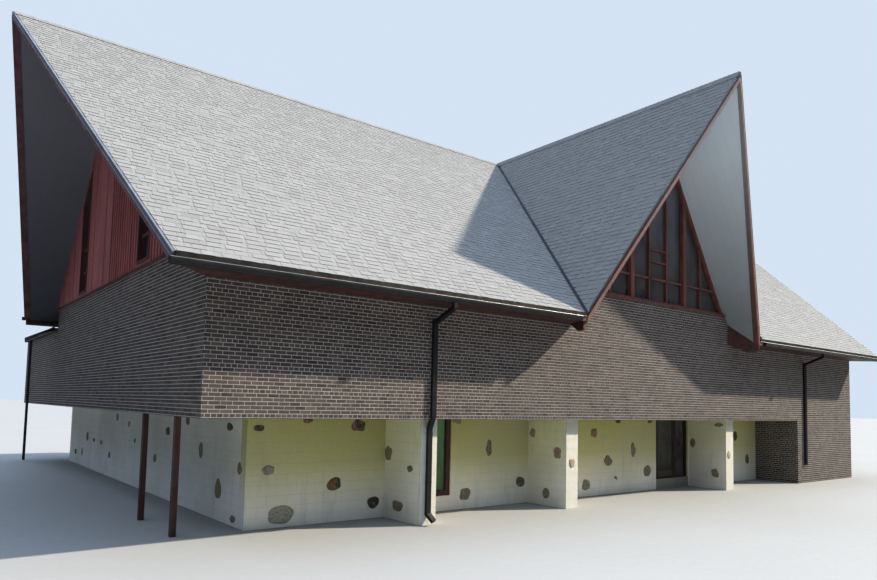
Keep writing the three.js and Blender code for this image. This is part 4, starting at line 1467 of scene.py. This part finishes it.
@dataclass(frozen=True)
class Downspouts:
    """Fluted square pipes with straps, along the routes of the plain ones."""

    wide: float = 0.1
    deep: float = 0.075
    flute: float = 0.0035
    flutes: tuple[int, int] = (4, 3)
    off_wall: float = 0.0385
    outlet: float = 7.38
    top: float = 4.3697
    neck: float = 4.29
    elbow: float = 4.06
    left: Floats = (-7.9, -7.76, -7.69, -7.64)
    left_bends: Pair = (2.19, 1.93)
    shoe: Vec = (0.23, 0.14, 0.09)
    right: Pair = (8.15, 8.56)
    right_foot: float = 0.62
    wing: float = 11.8
    wing_foot: float = 0.04
    strap: float = 0.004
    strap_high: float = 0.028
    left_straps: tuple[Pair, ...] = ((3.75, 2.55), (1.83, 0.86))
    right_straps: Floats = (3.75, 2.4, 1.0)
    wing_straps: Floats = (1.0, 2.5, 3.9)

    def section(self) -> np.ndarray:
        """Rectangle whose sides are drawn in by flutes, as a cosine along each side."""
        sides = []
        for turn in range(4):
            length, other = (self.wide, self.deep) if turn % 2 == 0 else (self.deep, self.wide)
            flutes = self.flutes[turn % 2]
            part = np.linspace(0.0, 1.0, flutes * 4 + 1)[:-1]
            across = length * (part - 0.5)
            out = -other / 2 + self.flute * (0.5 - 0.5 * np.cos(2 * math.pi * flutes * part))
            cos, sin = math.cos(turn * math.pi / 2), math.sin(turn * math.pi / 2)
            sides.append(np.column_stack([across * cos - out * sin, across * sin + out * cos]))
        return np.vstack(sides)

    def _straps(self, x: float, y: float, heights: Sequence[float]) -> list[Shell]:
        """Bands round an upright run of pipe."""
        wide, deep, high = self.wide / 2 + self.strap, self.deep / 2 + self.strap, self.strap_high / 2
        return [box((x - wide, y - deep, z - high), (x + wide, y + deep, z + high)) for z in heights]

    def build(self) -> None:
        """Makes the two front pipes and the wing's pipe in place of their plain bars."""
        h = HALL
        wall, fin = -h.half_y - self.off_wall, -h.fin_y - self.off_wall
        a, b, c, d = self.left
        bend, low = self.left_bends
        foot, out, toe = self.shoe
        left = [(a, -self.outlet, self.top), (a, -self.outlet, self.neck), (b, wall, self.elbow),
                (b, wall, bend), (c, fin, low), (c, fin, foot), (d, fin - out, toe)]
        near, far = self.right
        right = [(near, -self.outlet, self.top), (near, -self.outlet, self.neck), (far, wall, self.elbow),
                 (far, wall, self.right_foot)]
        upper, lower = self.left_straps
        straps = [*self._straps(b, wall, upper), *self._straps(c, fin, lower)]
        self._pipe("left", left, (1.0, 0.0, 0.0), straps, "downspout_front_left")
        straps = self._straps(far, wall, self.right_straps)
        self._pipe("right", right, (1.0, 0.0, 0.0), straps, "downspout_front_right")
        beside = -h.half_x - self.off_wall
        route = [(beside, self.wing, self.wing_foot), (beside, self.wing, h.wing_top)]
        half, deep = self.wide / 2 + self.strap, self.deep / 2
        straps = []
        for z in self.wing_straps:
            low, high = (beside - deep - self.strap, self.wing - half, z), (beside + deep, self.wing + half)
            straps.append(box(low, (*high, z + self.strap_high)))
        self._pipe("wing", route, (0.0, 1.0, 0.0), straps, "downspout_wing")

    def _pipe(self, name: str, route: list[Vec], side: Vec, straps: list[Shell], node: str) -> None:
        """One pipe along its route, with its straps, in place of its node."""
        shells = [carried(self.section(), route, side), *straps]
        piece(f"fluted_downspout_{name}", shells, GUTTER, replaces=(node,))


@dataclass(frozen=True)
class EndGables:
    """Siding battens and boards of the end gables, and the frames and bars of their tall strips."""

    batten: float = 0.038
    proud: float = 0.024
    sunk_foot: float = -0.002
    pitch: float = 0.2
    panel_pitch: float = 1.22
    cover: float = 0.05
    head_gap: float = 0.006
    ledger: float = 0.04
    ledger_ends: Pair = (0.002, 0.06)
    frieze_reach: float = 6.4
    frieze: Pair = (0.1, 0.13)
    frieze_proud: float = 0.0288
    frame: float = 0.07
    bar: float = 0.03
    transoms: Floats = (5.77, 6.4)
    strip_gap: float = 0.01
    sunk: float = -0.19
    frame_out: float = 0.016
    bar_span: Pair = (-0.16, -0.05)

    def _uprights(self, at: np.ndarray, wide: float) -> list:
        """Corners of uprights from the brick to the soffit, outside the strips."""
        h = HALL
        inner, outer = h.strip
        half = wide / 2
        at = at[(np.abs(at) + half < inner - self.strip_gap) | (np.abs(at) - half > outer + self.strip_gap)]
        low = np.full(len(at), h.end_top + self.ledger)
        left, right = at - half, at + half
        heads = [h.main_under(np.abs(edge)) - self.head_gap for edge in (right, left)]
        corners = [(left, low), (right, low), (right, heads[0]), (left, heads[1])]
        return np.stack([np.stack(corner, -1) for corner in corners], axis=1).tolist()

    def _window(self, side: float) -> tuple[list, list]:
        """Corners of one strip's frame boards, and of its bars."""
        h = HALL
        f, low = self.frame, h.strip_low
        inner, outer = h.strip
        near, far = inner + f, outer - f

        def top(y: float) -> float:
            """Height of the strip's head."""
            return float(h.main_under(y)) - h.strip_drop

        fall = f * math.hypot(1.0, h.main_drop())
        boards = [
            [(inner, low), (near, low), (near, top(near)), (inner, top(inner))],
            [(far, low), (outer, low), (outer, top(outer)), (far, top(far))],
            rect(near, low, far, low + f),
            [(near, top(near) - fall), (far, top(far) - fall), (far, top(far)), (near, top(near))],
        ]
        bars = [rect(near, z - self.bar, far, z + self.bar) for z in self.transoms]
        boards, bars = (np.array(corners) * np.array([side, 1.0]) for corners in (boards, bars))
        return boards.tolist(), bars.tolist()

    def _frieze(self) -> list:
        """Corners of the two boards that follow the soffit."""
        reach = self.frieze_reach
        foot, ridge = (float(HALL.main_under(y)) for y in (reach, 0.0))
        deep, deeper = self.frieze
        gap = self.head_gap
        return [
            [(-reach, foot - deep), (0, ridge - deeper), (0, ridge - gap), (-reach, foot - gap)],
            [(0, ridge - deeper), (reach, foot - deep), (reach, foot - gap), (0, ridge - gap)],
        ]

    def build(self) -> None:
        """Dresses both end gables."""
        h = HALL
        for name, end in ENDS:
            plane = wall(Facing[name.upper()], end * h.end_out)
            close = -end * np.arange(self.pitch / 2, h.half_y, self.pitch)
            wide = end * np.arange(self.panel_pitch / 2, h.half_y, self.panel_pitch)
            base, top = h.end_top + self.ledger_ends[0], h.end_top + self.ledger
            short = h.half_y - self.ledger_ends[1]
            foot = [[(-h.half_y, base), (h.half_y, base), (short, top), (-short, top)]]
            shells = [polygons(plane, foot, self.sunk_foot, self.proud)]
            piece(f"gable_foot_board_{name}", shells, TRIM_Y)
            shells = [
                polygons(plane, self._uprights(close, self.batten), self.sunk_foot, self.proud),
                polygons(plane, self._uprights(wide, self.cover), self.sunk_foot, self.proud / 2),
                polygons(plane, self._frieze(), self.sunk_foot, self.frieze_proud),
            ]
            piece(f"gable_battens_{name}", shells, SIDING)
            frames, bars = zip(*(self._window(side) for side in (-1.0, 1.0)))
            shells = [polygons(plane, sum(frames, []), self.sunk, self.frame_out),
                      polygons(plane, sum(bars, []), *self.bar_span)]
            piece(f"strip_window_frames_{name}", shells, TRIM_Z)


@dataclass(frozen=True)
class GableWindows:
    """Frames of the cross gables' glass: border, posts, mullions, transom, short bars and sill."""

    face: float = 6.5
    gap: float = 0.001
    border: float = 0.1
    depth: float = 0.1
    posts: Floats = (-1.22, 1.22)
    post: float = 0.15
    post_out: float = 0.012
    mullions: Floats = (-2.1, -0.4, 0.4, 2.1)
    mullion: float = 0.055
    thin_depth: float = 0.06
    transom: float = 5.97
    short_bars: Floats = (6.45, 6.78)
    short_bar: float = 0.02
    foot: Vec = (0.04, 0.07, 0.05)
    head_share: float = 0.9
    sill_span: Pair = (0.052, 0.085)
    sill_ends: Pair = (0.03, 0.01)
    sill_high: float = 0.045
    shift: float = 0.1

    def build(self) -> None:
        """Makes both frames in place of their plain ones."""
        for name, side, _ in SIDES:
            self._window(name, side)

    def _top(self, x: float) -> float:
        """Height of the opening's slanting edge."""
        return HALL.ridge - HALL.cross_depth - HALL.cross_drop() * abs(x) - 2 * self.gap

    def _window(self, name: str, side: int) -> None:
        """One gable's frame, with its bars a little to one side as its panes are."""
        h = HALL
        low = h.sill + self.gap
        plane = wall(Facing[name.upper()], side * self.face)
        slant = self.border * math.hypot(1.0, h.cross_drop())
        half = h.sill_half - self.gap
        apex = self._top(0.0)
        inner = half - slant / h.cross_drop()
        narrow, rise, start = self.foot
        edges = [
            [(-half, low), (-inner, low), (0, apex - slant), (0, apex)],
            [(inner, low), (half, low), (0, apex), (0, apex - slant)],
            [(-inner, low), (inner, low), (inner - narrow, low + rise), (narrow - inner, low + rise)],
        ]
        shift = -side * self.shift

        def upright(at: float, wide: float) -> list:
            """Corners of one upright, with its head on the slanting edge."""
            left, right = at + shift - wide / 2, at + shift + wide / 2
            heads = [self._top(edge) - slant * self.head_share for edge in (right, left)]
            return [(left, low + start), (right, low + start), (right, heads[0]), (left, heads[1])]

        posts = [upright(at, self.post) for at in self.posts]
        reach = (self._top(0.0) - self.transom) / h.cross_drop() - self.border
        bar, short = self.mullion / 2, self.short_bar
        near, far = (edge + shift for edge in self.mullions[1:3])
        thin = [
            *(upright(at, self.mullion) for at in self.mullions),
            rect(-reach, self.transom - bar, reach, self.transom + bar),
            *(rect(near, z - short, far, z + short) for z in self.short_bars),
        ]
        foot, head = (half + end for end in self.sill_ends)
        sill = [[(-foot, low - self.sill_high), (foot, low - self.sill_high), (head, low), (-head, low)]]
        shells = [
            polygons(plane, edges, -self.depth, 0.0),
            polygons(plane, posts, -self.depth, self.post_out),
            polygons(plane, thin, -self.depth, self.thin_depth - self.depth),
            polygons(plane, sill, *self.sill_span),
        ]
        piece(f"gable_window_{name}", shells, WINDOW_TRIM, replaces=(f"{name}_gable_frame",))


@dataclass(frozen=True)
class Entrance:
    """Beads, pull and kick plate of the entrance, the narrow window's beads and the tap on the wall."""

    face: float = -5.035
    bead: float = 0.014
    door_hole: Quad = (2.186, 0.563, 2.936, 2.238)
    side_hole: Quad = (3.122, 0.335, 3.64, 2.35)
    slit_hole: Quad = (-6.84, 0.45, -6.16, 2.22)
    door_beads: tuple[Pair, ...] = ((0.002, 0.0102), (0.0347, 0.043))
    side_beads: Pair = (0.02, 0.055)
    slit_beads: Pair = (-0.015, 0.024)
    pull_x: float = 2.985
    pull: Pair = (0.95, 1.45)
    pull_out: float = 0.055
    round_sides: int = 16
    pull_radius: float = 0.011
    kick: Quad = (2.2, 0.36, 2.92, 0.53)
    kick_span: Pair = (-0.0025, 0.001)
    tap_at: Vec = (0.02, -5.09, 0.45)
    tap_radius: float = 0.011
    tap_reach: Pair = (0.06, 0.07)
    tap_plate: Quad = (0.025, -0.006, 0.001, 0.03)
    tap_bar: Quad = (0.02, -0.045, -0.035, 0.01)

    def _tap(self) -> list[Shell]:
        """Garden tap: a plate on the wall, a spout that bends down and a bar for a handle."""
        x, y, z = self.tap_at
        out, down = self.tap_reach
        route = [(x, y, z), (x, y - out, z), (x, y - down, z - down)]
        spout = carried(circle(self.round_sides) * self.tap_radius, route, (1.0, 0.0, 0.0))
        half, front, back, high = self.tap_plate
        plate = box((x - half, y + front, z - high), (x + half, y + back, z + high))
        half, front, back, low = self.tap_bar
        return [plate, spout, box((x - half, y + front, z + low), (x + half, y + back, z + high))]

    def _beads(self, hole: Quad, near: float, far: float) -> Shell:
        """Four strips round a pane, between two depths."""
        x0, z0, x1, z1 = hole
        outer = rect(*hole)
        inner = rect(x0 + self.bead, z0 + self.bead, x1 - self.bead, z1 - self.bead)
        corners = [[outer[i], outer[(i + 1) % 4], inner[(i + 1) % 4], inner[i]] for i in range(4)]
        return polygons(wall(Facing.FRONT, 0.0), corners, -self.face - near, -self.face - far)

    def build(self) -> None:
        """Finishes the door, its frame and the narrow window."""
        y = self.face
        beads = [self._beads(self.door_hole, *span) for span in self.door_beads]
        piece("door_beads", beads, DOOR_TRIM, Body.DOOR)
        piece("sidelight_beads", [self._beads(self.side_hole, *self.side_beads)], ENTRANCE_TRIM)
        piece("narrow_window_beads", [self._beads(self.slit_hole, *self.slit_beads)], TRIM_Z)
        x, out = self.pull_x, y - self.pull_out
        low, high = self.pull
        route = [(x, y, low), (x, out, low), (x, out, high), (x, y, high)]
        grip = carried(self.pull_radius * circle(self.round_sides), route, (1.0, 0.0, 0.0))
        piece("door_pull", [grip], HANDLE, Body.DOOR)
        left, low, right, high = self.kick
        front, back = (y + out for out in self.kick_span)
        plate = box((left, front, low), (right, back, high))
        piece("door_kick_plate", [plate], HANDLE, Body.DOOR)
        piece("wall_tap", self._tap(), HANDLE)


@dataclass(frozen=True)
class Stone:
    """One stone set in a painted wall: its place, its height, its size and its tone."""

    at: float
    height: float
    wide: float
    high: float
    tone: float


@dataclass(frozen=True)
class Stones:
    """Field stones set in the painted walls, each a low dome with an uneven outline."""

    sides: int = 18
    waves: tuple[int, ...] = (2, 3, 4, 5)
    wave: float = 0.16
    round: float = 0.97
    uneven: float = 0.25
    proud: float = 0.016
    base: float = -0.004
    dome: tuple[Pair, ...] = ((0.985, 0.35), (0.9, 0.75), (0.62, 1.0), (0.3, 1.0))
    even_inside: float = 0.5
    heights: Pair = (0.3, 1.95)
    sizes: Pair = (0.12, 0.34)
    spread: float = 0.95
    strewn: float = 0.25

    def _stone(self, plane: Plane, stone: Stone, rng: np.random.Generator) -> Shell:
        """Low dome over an outline whose radius varies by a few waves round it, each less than the last."""
        angle = np.linspace(0.0, 2 * math.pi, self.sides + 1)[:-1]
        waves = np.array(self.waves)[:, None]
        size = rng.uniform(-self.wave, self.wave, waves.shape) / np.sqrt(waves)
        turned = waves * angle + rng.uniform(0.0, 2 * math.pi, waves.shape)
        radius = 0.5 * (self.round + (size * np.cos(turned)).sum(axis=0))
        outline = np.column_stack([stone.wide * radius * np.cos(angle), stone.high * radius * np.sin(angle)])
        middle = np.array([stone.at, stone.height])
        uneven = 1.0 + rng.uniform(-self.uneven, self.uneven, self.sides)
        rings = [plane.place(middle + outline, self.base)]
        for part, share in self.dome:
            rise = share * self.proud * (uneven if part > self.even_inside else 1.0)
            rings.append(plane.place(middle + outline * part, rise))
        return tube(np.stack(rings), stone.tone)

    def _scattered(self, left: float, right: float, rng: np.random.Generator) -> list[Stone]:
        """Stones strewn over a wall that the front view does not show, about as thickly as on the front."""
        count = max(1, int((right - left) * self.spread))
        at = np.linspace(left, right, count + 2)[1:-1] + rng.uniform(-self.strewn, self.strewn, count)
        height = rng.uniform(*self.heights, count)
        size = rng.uniform(*self.sizes, (count, 2))
        tone = rng.uniform(0.0, 1.0, count)
        return [Stone(*values) for values in np.column_stack([at, height, size, tone]).tolist()]

    def build(self) -> None:
        """Sets the stones of the front as they lie there, and strews the other walls."""
        h = HALL
        rng = np.random.default_rng(SEED + 2)
        fins = [wall(Facing.LEFT, left) for left in h.fin_lefts]
        shown = {
            wall(Facing.LEFT, h.low_left): [
                (0.32, 1.63, 0.3, 0.22, 0.2), (-0.62, 0.91, 0.26, 0.2, 0.5), (1.73, 1.92, 0.26, 0.17, 0.3),
                (2.66, 1.33, 0.24, 0.36, 0.7), (3.74, 0.62, 0.34, 0.42, 0.6), (4.23, 1.89, 0.3, 0.17, 0.1),
                (4.8, 1.12, 0.22, 0.22, 0.4), (4.55, 0.14, 0.26, 0.14, 0.5),
            ],
            wall(Facing.FRONT, -h.low_y): [
                (-10.77, 1.9, 0.22, 0.13, 0.1), (-10.55, 1.1, 0.27, 0.19, 0.8),
                (-10.26, 0.24, 0.56, 0.38, 0.9), (-9.11, 0.76, 0.35, 0.27, 0.1),
                (-9.75, 2.05, 0.2, 0.13, 0.1), (-8.57, 1.94, 0.36, 0.25, 0.0),
                (-8.15, 0.33, 0.3, 0.26, 0.0), (-4.86, 1.39, 0.2, 0.38, 0.3), (-5.6, 0.34, 0.34, 0.3, 0.6),
                (-3.78, 0.53, 0.32, 0.26, 0.2), (-0.92, 1.72, 0.28, 0.26, 0.3),
                (-0.3, 0.93, 0.36, 0.3, 0.5), (0.86, 1.21, 0.22, 0.42, 0.4),
                (-1.25, 0.31, 0.36, 0.3, 0.75), (1.55, 0.57, 0.36, 0.36, 0.6),
                (0.15, 2.05, 0.22, 0.15, 0.1), (6.63, 1.55, 0.3, 0.32, 0.1),
                (7.43, 0.73, 0.28, 0.32, 0.25), (5.3, 0.4, 0.3, 0.24, 0.3), (1.68, 2.05, 0.2, 0.14, 0.1),
                (-5.88, 2.05, 0.3, 0.15, 0.4),
            ],
            fins[0]: [
                (5.22, 1.36, 0.26, 0.32, 0.7), (6.01, 1.1, 0.2, 0.14, 0.3), (5.6, 0.3, 0.4, 0.23, 0.4),
            ],
            fins[1]: [
                (5.24, 1.75, 0.2, 0.23, 0.75), (6.07, 1.31, 0.27, 0.28, 0.9), (5.71, 0.3, 0.24, 0.27, 0.5),
            ],
            fins[2]: [
                (5.24, 1.37, 0.18, 0.3, 0.4), (5.99, 0.49, 0.24, 0.29, 0.6), (6.12, 1.97, 0.3, 0.12, 0.7),
            ],
            wall(Facing.FRONT, -h.fin_y): [(-3.3, 1.08, 0.2, 0.24, 0.8), (3.92, 1.07, 0.2, 0.24, 0.9)],
        }
        hidden = {
            wall(Facing.BACK, h.low_y): (-7.9, 5.9),
            wall(Facing.LEFT, h.low_left): (-11.2, -1.4),
            wall(Facing.BACK, h.low_back): (6.1, 10.9),
            wall(Facing.RIGHT, h.low_right): (5.3, 11.2),
            **{wall(Facing.RIGHT, left + h.fin_width): (-6.3, -5.15) for left in h.fin_lefts},
        }
        shells = []
        for plane, stones in shown.items():
            shells += [self._stone(plane, Stone(*stone), rng) for stone in stones]
        for plane, (left, right) in hidden.items():
            shells += [self._stone(plane, stone, rng) for stone in self._scattered(left, right, rng)]
        piece("set_stones", shells, STONE, smooth=True)


@dataclass(frozen=True)
class LooseEdges:
    """Metal angle along the skirt's lower edge, and the gravel stop round the wing's flat roof."""

    angle_thick: float = 0.012
    angle_deep: float = 0.13
    angle_out: float = 0.002
    angle_gap: float = 0.0005
    angle_side: float = 0.09
    stop_high: float = 0.035
    stop_thick: float = 0.008
    stop_drop: float = 0.085
    stop_in: float = 0.03
    stop_sheet: float = 0.004
    stop_start: float = 0.002
    stop_side: Vec = (1.0, 0.001, 0.0)

    def build(self) -> None:
        """Makes the lintel angle under the skirt and the wing's roof edge."""
        h = HALL
        z0, z1 = h.skirt - self.angle_thick, h.skirt - self.angle_gap
        left, out, inner = -h.half_x - self.angle_out, h.half_y + self.angle_out, h.half_y - self.angle_deep
        shells = [box((left, -out, z0), (h.return_x, -inner, z1)),
                  box((left, -inner, z0), (-h.half_x + self.angle_side, h.wing_back, z1))]
        piece("skirt_angle", shells, GUTTER)
        (x0, y0, _), (x1, y1, top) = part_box("wing_roof")
        start, thick, high = y0 + self.stop_start, self.stop_thick, self.stop_high
        section = np.array([
            (0.0, -self.stop_drop), (thick, -self.stop_drop), (thick, high), (-self.stop_in, high),
            (-self.stop_in, high - self.stop_sheet), (0.0, high - self.stop_sheet),
        ])
        path = [(x1, start, top), (x1, y1, top), (x0, y1, top), (x0, start, top)]
        piece("wing_roof_edge", [carried(section, path, self.stop_side)], GUTTER)


@dataclass(frozen=True)
class NodeDress:
    """Finishes of the frame's own nodes."""

    def build(self) -> None:
        """Gives every node the material of its finish."""
        for name, node in frame["nodes"].items():
            for place in node.material_slots:
                place.material = self._finish(name).material()
        log.info("nodes dressed: %d", len(frame["nodes"]))

    @staticmethod
    def _finish(name: str) -> Finish:
        """Finish of one node: by its whole name, or else by a part of it, or by its start or its end."""
        exact = {
            "wing_roof": MEMBRANE, "ridge_cap": SHINGLE, "ground_slab": CONCRETE, "upper_floor": CONCRETE,
            "door_sill": CONCRETE, "left_rake_fascia": RAKE_BOARD, "right_rake_fascia": RAKE_BOARD,
            "front_rake_fascia": FADED_HAZED_TRIM, "back_rake_fascia": FADED_HAZED_TRIM, "door_frame": ENTRANCE_TRIM,
            "lower_side_wall": PAINTED_SIDE, "lower_window_glass": GREEN_GLASS, "door_leaf": DOOR_TRIM,
        }
        starts = {
            "cross_roof": CROSS_SOFFIT, "roof": MAIN_SOFFIT, "eave": TRIM_X, "gutter": GUTTER,
            "downspout": GUTTER, "lower_window": TRIM_Z, "lower": PAINTED_BLOCK, "front_fin": PAINTED_FIN,
        }
        if name in exact:
            return exact[name]
        if "glass" in name:
            return GLASS
        if name.endswith("gable_wall"):
            return SIDING
        for start, finish in starts.items():
            if name.startswith(start):
                return finish
        return MORTAR if name.endswith("wall") else TRIM_Z


def main() -> None:
    """Builds the studio and the sub-assemblies in order."""
    logging.basicConfig(level=logging.INFO, format="%(name)s: %(message)s")
    studio = Studio()
    studio.camera()
    studio.light()
    studio.floor()
    parts = (NodeDress, BrickWork, Shingles, RakeTrim, Gutters, Downspouts, EndGables, GableWindows,
             Entrance, Stones, LooseEdges)
    for part in parts:
        log.info("building %s", part.__name__)
        part().build()
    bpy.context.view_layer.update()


if __name__ == "__main__":
    main()
